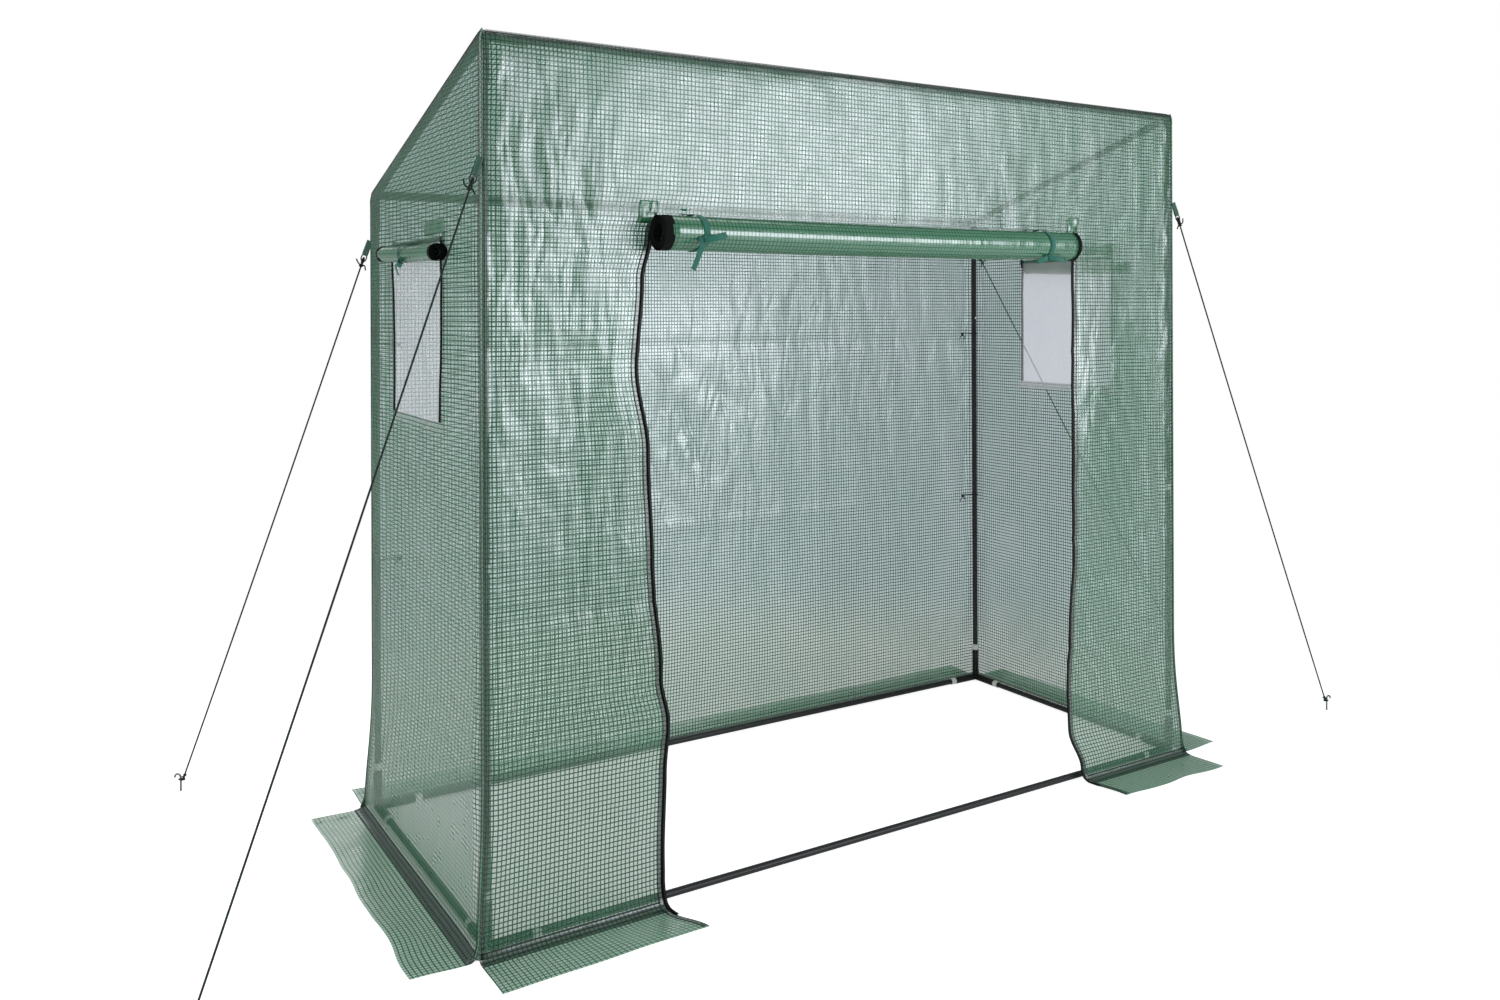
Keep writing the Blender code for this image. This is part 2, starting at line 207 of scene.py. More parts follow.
LEFT_WAVE = (
    (-0.13, 0.040), (-0.02, 0.006), (0.06, -0.002), (0.13, -0.004), (0.27, -0.001),
    (0.38, 0.008), (0.47, -0.008), (0.72, -0.028), (0.95, -0.036), (1.11, -0.061),
    (1.30, -0.047), (1.39, -0.028), (1.44, -0.016), (1.50, -0.006), (1.60, 0.0), (1.80, 0.0),
)
RIGHT_WAVE = (
    (-0.13, 0.020), (-0.02, 0.010), (0.04, -0.006), (0.14, -0.040), (0.22, -0.036),
    (0.42, -0.022), (0.58, -0.011), (0.80, -0.019), (1.02, -0.017), (1.30, -0.012),
    (1.44, -0.008), (1.50, 0.0), (1.80, 0.0),
)


def sideways(s, t):
    """In-plane drift of the front cloth beside the door."""
    left = door_wave(t, LEFT_WAVE) * ease(1 - np.abs(s + DOOR_HALF) / 0.30)
    right = door_wave(t, RIGHT_WAVE) * ease(1 - np.abs(s - DOOR_HALF) / 0.30)
    return left + right


CREASED = {
    "front": (
        (-0.82, 1.00, 0.14, 0.42, 1.0), (-0.70, 0.62, 0.12, 0.22, 0.9),
        (0.70, 1.02, 0.08, 0.26, 0.8), (-0.86, 1.48, 0.08, 0.16, 0.6), (0.84, 0.5, 0.1, 0.2, 0.3),
    ),
    "back": (
        (-0.42, 0.50, 0.24, 0.20, 1.0), (-0.12, 0.78, 0.24, 0.24, 1.0), (0.40, 1.1, 0.4, 0.3, 0.5),
    ),
    "left": ((0.10, 0.55, 0.16, 0.30, 0.45), (-0.2, 1.5, 0.15, 0.15, 0.4)),
    "right": ((-0.05, 0.60, 0.18, 0.30, 0.45), (0.2, 1.4, 0.15, 0.15, 0.4)),
}


def creased(side, s, t):
    """Share of small sharp creases at a place: mostly smooth, with rumpled patches."""
    share = 0.10 + 0 * s
    for at_s, at_t, wide, tall, weight in CREASED[side]:
        share = share + weight * np.exp(-(((s - at_s) / wide) ** 2) - ((t - at_t) / tall) ** 2)
    from_end = SIDES[side]["half"] - np.abs(s)
    share = share + 0.9 * np.exp(-((from_end - 0.024) / 0.016) ** 2)
    return np.clip(share, 0, 1)


def loose(side, s, t):
    """How far a side's cloth stands out of its plane where nothing holds it."""
    seed = SIDES[side]["seed"]
    out = rumple(s, t, seed, 0.35 + 0.9 * creased(side, s, t))
    from_end = SIDES[side]["half"] - np.abs(s)
    out += 0.0022 * np.exp(-((from_end - 0.035) / 0.03) ** 2) * ridge(s / 0.022, t / 0.055, seed + 30)
    if side == "front":
        beside = ease((np.abs(s) - DOOR_HALF + 0.04) / 0.05)
        out += beside * fold_line(t - 0.637, -0.0035)
        out += beside * fold_line(t - 0.357, 0.0035)
        out += fold_line(t - 1.13, -0.0020)
        out += fold_line(s - 0.86, 0.0025, 0.007) * ease((t - 1.2) / 0.3)
        out += fold_line(s + 0.78, -0.0022, 0.008)
        out += 0.010 * np.exp(-((t - 0.9) / 0.35) ** 2) * beside * ease(
            1 - np.abs(np.abs(s) - 0.66) / 0.14
        )
    if side == "back":
        out += fold_line(t - 1.14, 0.0030) + fold_line(t - 0.62, -0.0030)
        out += fold_line(s - 0.36, -0.0030, 0.010) + fold_line(s + 0.33, 0.0026, 0.010)
        out += 0.0022 * ridge((s + 0.2 * t) / 0.10, t / 0.9, 907) * ease(t / 0.3)
    if side == "left":
        out += 0.009 * np.exp(-(((s + 0.14) / 0.16) ** 2) - ((t - 1.06) / 0.28) ** 2)
        out += fold_line(t - 0.62, -0.0025)
    if side == "right":
        out += 0.006 * np.exp(-((s / 0.25) ** 2) - ((t - 0.9) / 0.4) ** 2)
        out += fold_line(t - 0.62, 0.0025)
    return out


def cover(side, s, t, lift=0.0):
    """Points of one side of the cover.  s runs along it and t up it, both in metres of
    cloth; below the fold the cloth runs out over the floor as a skirt."""
    shape = SIDES[side]
    s, t = np.broadcast_arrays(np.asarray(s, float), np.asarray(t, float))
    slant = ROOF_ANGLE if side in ("left", "right") else 0.0
    to_end = shape["half"] - np.abs(s)
    to_top = (top_of(side, s) - t) * math.cos(slant)
    fold_top = GROUND + FOLD_RADIUS
    held = ease(to_end / 0.045) * ease(to_top / 0.045)
    held = held * (0.25 + 0.75 * ease((t - fold_top) / 0.12))
    upright = ease((t - 0.0) / 0.05)

    out = np.where(t > 0, loose(side, s, np.maximum(t, 0)) * held, 0.0) + lift
    along = s.copy()
    height = t.copy()
    back, inward = rounding(to_end, RIGHT_ANGLE)
    along -= np.sign(s) * back * upright
    out = out - inward * upright
    back, sunk = rounding(to_top, shape["turn"])
    height -= back * math.cos(slant)
    along -= back * math.sin(slant)
    out = out - sunk * np.where(inward > 0, np.cos(inward / EDGE_RADIUS), 1)

    # the turn into the skirt, and the skirt
    arc = np.clip((fold_top - t) / FOLD_RADIUS, 0, RIGHT_ANGLE)
    beyond = np.maximum(fold_top - t - FOLD_RADIUS * RIGHT_ANGLE, 0)
    low = t < fold_top
    height = np.where(low, fold_top - FOLD_RADIUS * np.sin(arc), height)
    out = out + np.where(low, FOLD_RADIUS * (1 - np.cos(arc)) + beyond, 0)
    ripple = 0.5 + 0.5 * noise(s / 0.11, beyond / 0.2 + 3, shape["seed"] + 20)
    height = height + ripple * 0.007 * ease(beyond / 0.10)
    height = np.where(low, np.maximum(height + lift * np.cos(RIGHT_ANGLE - arc), GROUND), height)
    out = out + 0.006 * ease(beyond / 0.09) * noise(s / 0.13, 0.5, shape["seed"] + 21)

    if side == "front":
        along = along + sideways(s, t)
    else:
        along = along + 0.010 * ease(beyond / 0.09) * noise(
            s / 0.2, 0.2, shape["seed"] + 22
        )
    flare = FLARE * ease((0.42 - t) / 0.42) ** 2
    if side in ("left", "right"):
        along = along * (1 + flare / HALF_DEPTH)
    else:
        along = along * (1 + flare / HALF_WIDTH)
    reach = shape["reach"] + out + flare
    a, n = np.array(shape["along"], float), np.array(shape["out"], float)
    points = along[..., None] * a + reach[..., None] * n
    points[..., 2] += height
    return points


def roof(s, r, lift=0.0):
    """Points of the roof: s across, r down its slope from the front edge."""
    s, r = np.broadcast_arrays(np.asarray(s, float), np.asarray(r, float))
    to_end = HALF_WIDTH - np.abs(s)
    held = ease(to_end / 0.05) * ease(r / 0.05) * ease((ROOF_LENGTH - r) / 0.05)
    sag = -0.009 * ease(to_end / 0.5) * np.sin(np.pi * r / ROOF_LENGTH)
    out = held * (rumple(s, r, 871) + sag) + lift
    out += held * (fold_line(s - 0.02, 0.003) + fold_line(r - 0.43, -0.0025))
    back_end, inward = rounding(to_end, RIGHT_ANGLE)
    back_front, sunk_front = rounding(r, RIGHT_ANGLE + ROOF_ANGLE)
    back_rear, sunk_rear = rounding(ROOF_LENGTH - r, RIGHT_ANGLE - ROOF_ANGLE)
    along = s - np.sign(s) * back_end
    down = r + back_front - back_rear
    out = out - inward - (sunk_front + sunk_rear) * np.cos(inward / EDGE_RADIUS)
    c, k = math.cos(ROOF_ANGLE), math.sin(ROOF_ANGLE)
    points = np.zeros(s.shape + (3,))
    points[..., 0] = along
    points[..., 1] = -HALF_DEPTH + down * c + out * k
    points[..., 2] = FRONT_TOP - down * k + out * c
    return points


# --------------------------------------------------------------- meshes


def add_mesh(name, points, faces, uv=None, smooth=True, shares=None):
    mesh = bpy.data.meshes.new(name)
    mesh.from_pydata([tuple(p) for p in points], [], [tuple(f) for f in faces])
    if uv is not None:
        corner = np.zeros(len(mesh.loops), np.int32)
        mesh.loops.foreach_get("vertex_index", corner)
        layer = mesh.uv_layers.new(name="UVMap")
        layer.data.foreach_set("uv", np.asarray(uv, np.float32)[corner].ravel())
    for share_name, values in (shares or {}).items():
        mesh.attributes.new(share_name, "FLOAT", "POINT").data.foreach_set(
            "value", np.asarray(values, np.float32).ravel()
        )
    mesh.polygons.foreach_set("use_smooth", [smooth] * len(mesh.polygons))
    mesh.update()
    item = bpy.data.objects.new(name, mesh)
    scene.collection.objects.link(item)
    return item


def grid(name, points, uv, keep=None, flip=False, shares=None):
    """A mesh of quads over an array of points; keep says which cells are there."""
    rows, cols = points.shape[:2]
    index = np.arange(rows * cols).reshape(rows, cols)
    quads = np.stack(
        [index[:-1, :-1], index[:-1, 1:], index[1:, 1:], index[1:, :-1]], axis=-1
    )
    if keep is not None:
        quads = quads[keep]
    quads = quads.reshape(-1, 4)
    if flip:
        quads = quads[:, ::-1]
    used, quads = np.unique(quads, return_inverse=True)
    quads = quads.reshape(-1, 4)
    shares = {key: values.ravel()[used] for key, values in (shares or {}).items()}
    return add_mesh(
        name, points.reshape(-1, 3)[used], quads, uv.reshape(-1, 2)[used], shares=shares
    )


def steps(marks, size):
    """Positions from the first mark to the last, each mark among them, about size apart."""
    made = [np.array([marks[0]])]
    for a, b in zip(marks, marks[1:]):
        made.append(np.linspace(a, b, max(1, round((b - a) / size)) + 1)[1:])
    return np.concatenate(made)


def place(item, material, body="greenhouse", replaces=()):
    """Rides a piece on its body, gives it its material and hides the parts it replaces."""
    item.data.materials.clear()
    item.data.materials.append(material)
    if body:
        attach(item, body)
    if replaces:
        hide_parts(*replaces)
    return item


def thicken(item, thickness, offset=0.0):
    modifier = item.modifiers.new("thickness", "SOLIDIFY")
    modifier.thickness = thickness
    modifier.offset = offset
    return item


def thicken_now(item, thickness, offset=0.0):
    """Thickens a mesh for good, so that it can be joined to others."""
    thicken(item, thickness, offset)
    bpy.context.view_layer.objects.active = item
    bpy.ops.object.modifier_apply(modifier="thickness")
    return item


def lengths_along(path):
    """Distance along a path at each of its points."""
    return np.concatenate([[0], np.cumsum(np.linalg.norm(np.diff(path, axis=0), axis=1))])


def pairs(a, b):
    """Two lengths as one array of UV places."""
    return np.stack(np.broadcast_arrays(a, b), axis=-1)


def ring_quads(count, around, closed):
    """Point numbers of rings of points, and the quads that join each ring to the next."""
    index = np.arange(count * around).reshape(count, around)
    rows = np.concatenate([index, index[:1]]) if closed else index
    nxt = np.roll(rows, -1, axis=1)
    quads = np.stack([rows[:-1], nxt[:-1], nxt[1:], rows[1:]], axis=-1)
    return index, quads.reshape(-1, 4)


def frames(path, closed=False):
    """Tangent, side and up directions along a path, turned as little as possible."""
    path = np.asarray(path, float)
    if closed:
        tangent = np.roll(path, -1, 0) - np.roll(path, 1, 0)
    else:
        tangent = np.gradient(path, axis=0)
    tangent /= np.linalg.norm(tangent, axis=1)[:, None]
    start = np.array([0, 0, 1.0]) if abs(tangent[0, 2]) < 0.9 else np.array([1.0, 0, 0])
    side = np.zeros_like(path)
    current = start - tangent[0] * (start @ tangent[0])
    for i, direction in enumerate(tangent):
        current = current - direction * (current @ direction)
        current /= np.linalg.norm(current)
        side[i] = current
    return tangent, side, np.cross(tangent, side)


def sweep(name, path, section, closed=False, swell=None):
    """A tube of any section along a path.  section is points (side, up); swell scales it."""
    path, section = np.asarray(path, float), np.asarray(section, float)
    _, side, up = frames(path, closed)
    scale = np.ones(len(path)) if swell is None else np.asarray(swell, float)
    ring = (
        path[:, None, :]
        + side[:, None, :] * (section[None, :, 0:1] * scale[:, None, None])
        + up[:, None, :] * (section[None, :, 1:2] * scale[:, None, None])
    )
    around = ring.shape[1]
    index, quads = ring_quads(len(ring), around, closed)
    faces = [list(q) for q in quads]
    if not closed:
        faces += [list(index[0][::-1]), list(index[-1])]
    length = lengths_along(path)
    turned = np.linspace(0, 1, around, endpoint=False) * 2 * np.pi * np.abs(section).max()
    uv = pairs(turned[None, :], length[:, None])
    return add_mesh(name, ring.reshape(-1, 3), faces, uv.reshape(-1, 2))


def circle(radius, count=10):
    angle = np.linspace(0, 2 * np.pi, count, endpoint=False)
    return np.stack([np.cos(angle), np.sin(angle)], axis=1) * radius


def flat_section(width, thickness):
    """A strap's section with rounded edges."""
    angle = np.linspace(0, 2 * np.pi, 12, endpoint=False)
    c, k = np.cos(angle), np.sin(angle)
    return np.stack(
        [np.sign(c) * np.abs(c) ** 0.35 * width / 2, np.sign(k) * np.abs(k) ** 0.8 * thickness / 2],
        axis=1,
    )


def oval(centre, one_way, other_way, count):
    """A closed path round centre, reaching as far as the two vectors."""
    angle = np.linspace(0, 2 * np.pi, count, endpoint=False)
    return centre + np.outer(np.cos(angle), one_way) + np.outer(np.sin(angle), other_way)


def trefoil(centre, size, axes, count=60):
    """A closed overhand-knot path around centre."""
    t = np.linspace(0, 2 * np.pi, count, endpoint=False)
    local = np.stack(
        [np.sin(t) + 2 * np.sin(2 * t), np.cos(t) - 2 * np.cos(2 * t), -np.sin(3 * t)], axis=1
    )
    return np.asarray(centre) + local * size / 6 @ np.asarray(axes, float)


def smooth_path(points, count):
    """A Catmull-Rom curve through points, with even parameter steps."""
    p = np.asarray(points, float)
    p = np.concatenate([[2 * p[0] - p[1]], p, [2 * p[-1] - p[-2]]])
    t = np.linspace(0, len(p) - 3, count)
    i = np.minimum(t.astype(int), len(p) - 4)
    u = (t - i)[:, None]
    a, b, c, d = p[i], p[i + 1], p[i + 2], p[i + 3]
    return 0.5 * (
        2 * b + (c - a) * u + (2 * a - 5 * b + 4 * c - d) * u**2 + (3 * b - a - 3 * c + d) * u**3
    )


def join(name, items):
    """Joins small meshes into one piece."""
    bpy.ops.object.select_all(action="DESELECT")
    for item in items:
        item.select_set(True)
    bpy.context.view_layer.objects.active = items[0]
    bpy.ops.object.join()
    items[0].name = items[0].data.name = name
    return items[0]


# --------------------------------------------------------------- materials


def srgb(*values):
    return tuple(
        (v / 255 / 12.92) if v / 255 <= 0.04045 else ((v / 255 + 0.055) / 1.055) ** 2.4
        for v in values
    ) + (1.0,)


def shade(colour, factor):
    return srgb(*[min(255, c * factor) for c in colour])


def paler(colour, by):
    return srgb(*[min(255, c + by) for c in colour])


class Nodes:
    """A small writer for the nodes of a material or a world."""

    def __init__(self, owner, output):
        owner.use_nodes = True
        self.owner = owner
        self.tree = owner.node_tree
        self.tree.nodes.clear()
        self.output = self.add(output)

    def add(self, kind, inputs=None, **settings):
        node = self.tree.nodes.new(kind)
        for key, value in settings.items():
            setattr(node, key, value)
        for key, value in (inputs or {}).items():
            self.feed(node.inputs[key], value)
        return node

    def feed(self, socket, value):
        if isinstance(value, bpy.types.NodeSocket):
            self.tree.links.new(value, socket)
        elif isinstance(value, bpy.types.Node):
            self.tree.links.new(value.outputs[0], socket)
        else:
            socket.default_value = value

    def math(self, operation, *values, clamp=False):
        node = self.add("ShaderNodeMath", operation=operation, use_clamp=clamp)
        for socket, value in zip(node.inputs, values):
            self.feed(socket, value)
        return node.outputs[0]

    def step(self, value, low, high, to_low=0.0, to_high=1.0):
        """Smooth step of value from low to high."""
        return self.add(
            "ShaderNodeMapRange",
            {"Value": value, "From Min": low, "From Max": high, "To Min": to_low, "To Max": to_high},
            interpolation_type="SMOOTHSTEP",
        ).outputs[0]

    def mix(self, share, a, b):
        node = self.add("ShaderNodeMix", data_type="RGBA")
        self.feed(node.inputs[0], share)
        self.feed(node.inputs[6], a)
        self.feed(node.inputs[7], b)
        return node.outputs[2]

    def mix_number(self, share, a, b):
        return self.add("ShaderNodeMix", {0: share, 2: a, 3: b}, data_type="FLOAT").outputs[0]

    def mix_shader(self, share, a, b):
        return self.add("ShaderNodeMixShader", {0: share, 1: a, 2: b}).outputs[0]

    def noise(self, where, scale, detail=2.0, distortion=0.0):
        return self.add(
            "ShaderNodeTexNoise",
            {"Vector": where, "Scale": scale, "Detail": detail, "Distortion": distortion},
        ).outputs[0]

    def place(self):
        return self.add("ShaderNodeTexCoord").outputs["Object"]

    def uv(self):
        """The UV map's two lengths in metres."""
        vector = self.add("ShaderNodeUVMap", uv_map="UVMap").outputs[0]
        split = self.add("ShaderNodeSeparateXYZ", {0: vector})
        return split.outputs[0], split.outputs[1]

    def bump(self, height, distance, strength=1.0, normal=None):
        node = self.add(
            "ShaderNodeBump", {"Height": height, "Distance": distance, "Strength": strength}
        )
        if normal is not None:
            self.feed(node.inputs["Normal"], normal)
        return node.outputs[0]

    def finish(self, shader):
        self.feed(self.output.inputs["Surface"], shader)
        return self.owner


class Material(Nodes):
    def __init__(self, name):
        super().__init__(bpy.data.materials.new(name), "ShaderNodeOutputMaterial")


def thread_mask(m, length, pitch, half, soft):
    """1 on the threads of a weave, 0 between them."""
    turns = m.math("FRACT", m.math("DIVIDE", length, pitch))
    off = m.math("ABSOLUTE", m.math("SUBTRACT", turns, 0.5))
    return m.step(off, half + soft, half - soft)


def crinkles(m, where, scale=1.0):
    """Film creases: long winding streaks in three directions over small dents, about 0 to 2."""
    total = m.math("MULTIPLY", m.noise(where, 30.0 * scale, 1.0), 0.20)
    for turn, across, along, share in (
        (0.15, 13.0, 3.5, 1.0), (-0.65, 10.0, 3.2, 0.8), (0.9, 18.0, 7.0, 0.45)
    ):
        laid = m.add(
            "ShaderNodeMapping",
            {"Vector": where, "Rotation": (turn, turn, 0.0),
             "Scale": (across * scale, across * scale, along * scale)},
        ).outputs[0]
        line = m.math("ABSOLUTE", m.math("SUBTRACT", m.noise(laid, 1.0, 1.5, 0.6), 0.5))
        total = m.math("ADD", total, m.math("MULTIPLY", m.step(line, 0.0, 0.16), share))
    return total


def sheet_material(
    name, thread=(13, 68, 43), cell=(106, 196, 146), clear=0.72, thread_clear=0.03,
    crinkle=0.0024, roughness=0.27, through=0.34, coat=0.14,
):
    """Clear film laid over a green thread grid."""
    m = Material(name)
    u, v = m.uv()
    where = m.place()
    wander = m.math("MULTIPLY", m.math("SUBTRACT", m.noise(where, 14.0), 0.5), 0.0025)
    u = m.math("ADD", u, wander)
    across = thread_mask(m, u, CELL_ACROSS, 0.130, 0.055)
    up = thread_mask(m, v, CELL_UP, 0.130, 0.055)
    threads = m.math("MAXIMUM", across, up)
    crossing = m.math("MULTIPLY", across, up)
    tone = m.noise(where, 2.3, 3.0)
    thread_colour = m.mix(tone, shade(thread, 0.88), shade(thread, 1.14))
    thread_colour = m.mix(m.math("MULTIPLY", crossing, 0.5), thread_colour, shade(thread, 0.72))
    cell_colour = m.mix(tone, shade(cell, 0.95), shade(cell, 1.04))
    colour = m.mix(threads, cell_colour, thread_colour)
    # painted shade: the cover is darkened towards near black along its top edge, for the dark top rail
    # behind the film and the shade where no light comes through it
    rail_and_shade_dark = m.add("ShaderNodeAttribute", attribute_name="rail_and_shade_dark").outputs["Fac"]
    colour = m.mix(m.math("MULTIPLY", rail_and_shade_dark, 0.85), colour, srgb(10, 22, 18))
    haze = m.math("MULTIPLY", m.math("SUBTRACT", m.noise(where, 5.0, 4.0), 0.5), 0.30)
    open_cell = m.math("SUBTRACT", clear, haze, clamp=True)
    # painted shade: the skirt lying on the floor is made less clear, standing in for the shaded floor
    # under it
    lying = m.step(v, 0.004, -0.012)
    lying_share = m.math("SUBTRACT", 1.0, m.math("MULTIPLY", lying, 0.35))
    opening = m.mix_number(threads, m.math("MULTIPLY", open_cell, lying_share), thread_clear)
    dull = m.math("MULTIPLY_ADD", m.noise(where, 30.0, 3.0), 0.22, roughness - 0.08)
    creases = m.add("ShaderNodeAttribute", attribute_name="creased").outputs["Fac"]
    normal = m.bump(crinkles(m, where), m.math("MULTIPLY_ADD", creases, crinkle, crinkle * 0.05))
    weave = m.math("MULTIPLY_ADD", crossing, 0.5, threads)
    normal = m.bump(weave, 0.00012, 0.8, normal)
    solid = m.add(
        "ShaderNodeBsdfPrincipled",
        {"Base Color": colour, "Roughness": dull, "Normal": normal, "Specular IOR Level": 0.4},
    )
    glow = m.add("ShaderNodeBsdfTranslucent", {"Color": colour, "Normal": normal})
    body = m.mix_shader(through, solid, glow)
    weave_layer = m.mix_shader(opening, body, m.add("ShaderNodeBsdfTransparent"))
    film = m.add(
        "ShaderNodeBsdfPrincipled",
        {"Base Color": (0.97, 0.97, 1.0, 1.0), "Metallic": 1.0, "Roughness": dull, "Normal": normal},
    )
    gloss = m.add("ShaderNodeFresnel", {"IOR": 1.45, "Normal": normal}).outputs[0]
    share = m.math("MINIMUM", m.math("MULTIPLY", gloss, 2.6), coat)
    share = m.math("MULTIPLY", share, m.step(threads, 0.0, 1.0, 1.0, 0.45))
    return m.finish(m.mix_shader(share, weave_layer, film))


def net_material():
    m = Material("white_insect_net")
    u, v = m.uv()
    pitch = 0.0026
    threads = m.math(
        "MAXIMUM", thread_mask(m, u, pitch, 0.13, 0.05), thread_mask(m, v, pitch, 0.13, 0.05)
    )
    where = m.place()
    open_hole = m.math("SUBTRACT", 0.78, m.math("MULTIPLY", m.noise(where, 12.0, 3.0), 0.16))
    opening = m.mix_number(threads, open_hole, 0.05)
    colour = m.mix(m.noise(where, 7.0, 3.0), srgb(244, 242, 252), srgb(255, 254, 255))
    normal = m.bump(m.math("ADD", threads, crinkles(m, where, 1.2)), 0.0016)
    # painted light: the net glows a little with its own colour, so that it looks brighter than the lamps
    # make it
    solid = m.add(
        "ShaderNodeBsdfPrincipled",
        {"Base Color": colour, "Roughness": 0.42, "Normal": normal, "Emission Color": colour,
         "Emission Strength": 0.20},
    )
    glow = m.add("ShaderNodeBsdfTranslucent", {"Color": colour})
    body = m.mix_shader(0.62, solid, glow)
    return m.finish(m.mix_shader(opening, body, m.add("ShaderNodeBsdfTransparent")))


def cloth_material(
    name, dark, light, pitch=0.0011, roughness=0.6, sheen=0.0, stitch=None, shine=0.4
):
    """Woven tape or webbing, with a stitched line where stitch gives its distance from the middle."""
    m = Material(name)
    u, v = m.uv()
    a = m.math("SINE", m.math("MULTIPLY", m.math("ADD", u, v), math.pi / pitch))
    b = m.math("SINE", m.math("MULTIPLY", m.math("SUBTRACT", u, v), math.pi / pitch))
    weave = m.math("MULTIPLY_ADD", m.math("MULTIPLY", a, b), 0.5, 0.5)
    tone = m.noise(m.place(), 60.0, 3.0)
    share = m.math("MULTIPLY_ADD", weave, 0.5, m.math("MULTIPLY", tone, 0.5))
    colour = m.mix(share, srgb(*dark), srgb(*light))
    height = weave
    if stitch is not None:
        near = m.math("ABSOLUTE", m.math("SUBTRACT", m.math("ABSOLUTE", u), stitch))
        line = m.step(near, 0.0007, 0.0003)
        dash = m.step(m.math("FRACT", m.math("DIVIDE", v, 0.0045)), 0.62, 0.55)
        sewn = m.math("MULTIPLY", line, dash)
        colour = m.mix(sewn, colour, paler(light, 60))
        height = m.math("MULTIPLY_ADD", sewn, -1.5, weave)
    normal = m.bump(height, 0.00025)
    shader = m.add(
        "ShaderNodeBsdfPrincipled",
        {"Base Color": colour, "Roughness": roughness, "Normal": normal, "Sheen Weight": sheen,
         "Specular IOR Level": shine},
    )
    return m.finish(shader.outputs[0])


def hard_material(
    name, dark, light, roughness, bump=0.00015, scale=90.0, metallic=0.0, wear=0.0, shine=0.5
):
    """Coated steel or moulded plastic, with fine grain, patchy dulling and light wear on edges."""
    m = Material(name)
    where = m.place()
    grain = m.noise(where, scale, 4.0)
    patches = m.noise(where, 6.0, 3.0)
    colour = m.mix(patches, srgb(*dark), srgb(*light))
    dull = m.math("MULTIPLY_ADD", patches, 0.2, roughness - 0.1)
    if wear:
        point = m.add("ShaderNodeNewGeometry").outputs["Pointiness"]
        edge = m.step(m.math("MULTIPLY_ADD", m.noise(where, 40.0, 4.0), 0.06, point), 0.545, 0.60)
        colour = m.mix(m.math("MULTIPLY", edge, wear), colour, paler(light, 70))
    normal = m.bump(grain, bump)
    shader = m.add(
        "ShaderNodeBsdfPrincipled",
        {"Base Color": colour, "Roughness": dull, "Normal": normal, "Metallic": metallic,
         "Specular IOR Level": shine},
    )
    return m.finish(shader.outputs[0])


SHEET = sheet_material("reinforced_sheet")
DOUBLED = sheet_material(
    "reinforced_sheet_doubled", thread=(8, 42, 28), cell=(38, 92, 64), clear=0.40,
    thread_clear=0.02, crinkle=0.0060,
)
ROLLED = sheet_material(
    "reinforced_sheet_rolled", thread=(26, 92, 60), cell=(64, 132, 96), clear=0.03,
    thread_clear=0.0, crinkle=0.0100, roughness=0.22, through=0.10, coat=0.14,
)
NET = net_material()
TAPE = cloth_material("black_zip_tape", (7, 8, 9), (22, 23, 24), 0.0009, 0.8, shine=0.12)
CHAIN = hard_material("black_zip_chain", (8, 8, 9), (22, 22, 23), 0.42, scale=300.0)
RIBBON = cloth_material("green_ribbon", (6, 82, 68), (26, 120, 100), 0.0010, 0.5, 0.2)
WEBBING = cloth_material("green_webbing", (14, 58, 44), (44, 92, 74), 0.0014, 0.6, 0.2, 0.0052)
ROPE = cloth_material("dark_green_rope", (16, 30, 24), (44, 60, 52), 0.0013, 0.75, shine=0.2)
STEEL = hard_material(
    "black_coated_steel", (4, 5, 6), (11, 12, 13), 0.30, 0.00008, 160.0, wear=0.35, shine=0.16
)
PLASTIC = hard_material(
    "black_moulded_plastic", (7, 7, 8), (18, 18, 19), 0.5, 0.0002, 220.0, wear=0.35, shine=0.3
)
COLLAR = hard_material("pale_plastic_collar", (206, 208, 206), (234, 235, 233), 0.45, 0.0001, 120.0)
PEG = hard_material("zinc_peg_steel", (96, 98, 100), (150, 152, 154), 0.42, 0.00012, 150.0, metallic=1.0)

# --------------------------------------------------------------- guy ropes

ROPE_DIAMETER = 0.004
ROPE_START = 0.0489      # from the corner of the cover, past the tab and ring
ROPE_SAG = 0.007
PEG_STANDOFF = 0.0065
GUY_LINES = {
    "front_left": (-1, -1, 1.535, (-1.548, -0.513)),
    "front_right": (1, -1, 1.535, (1.680, -0.420)),
    "back_left": (-1, 1, 1.416, (-1.383, 0.788)),
    "back_right": (1, 1, 1.450, (1.990, 0.420)),
}
ROPE_END_Z = 0.030


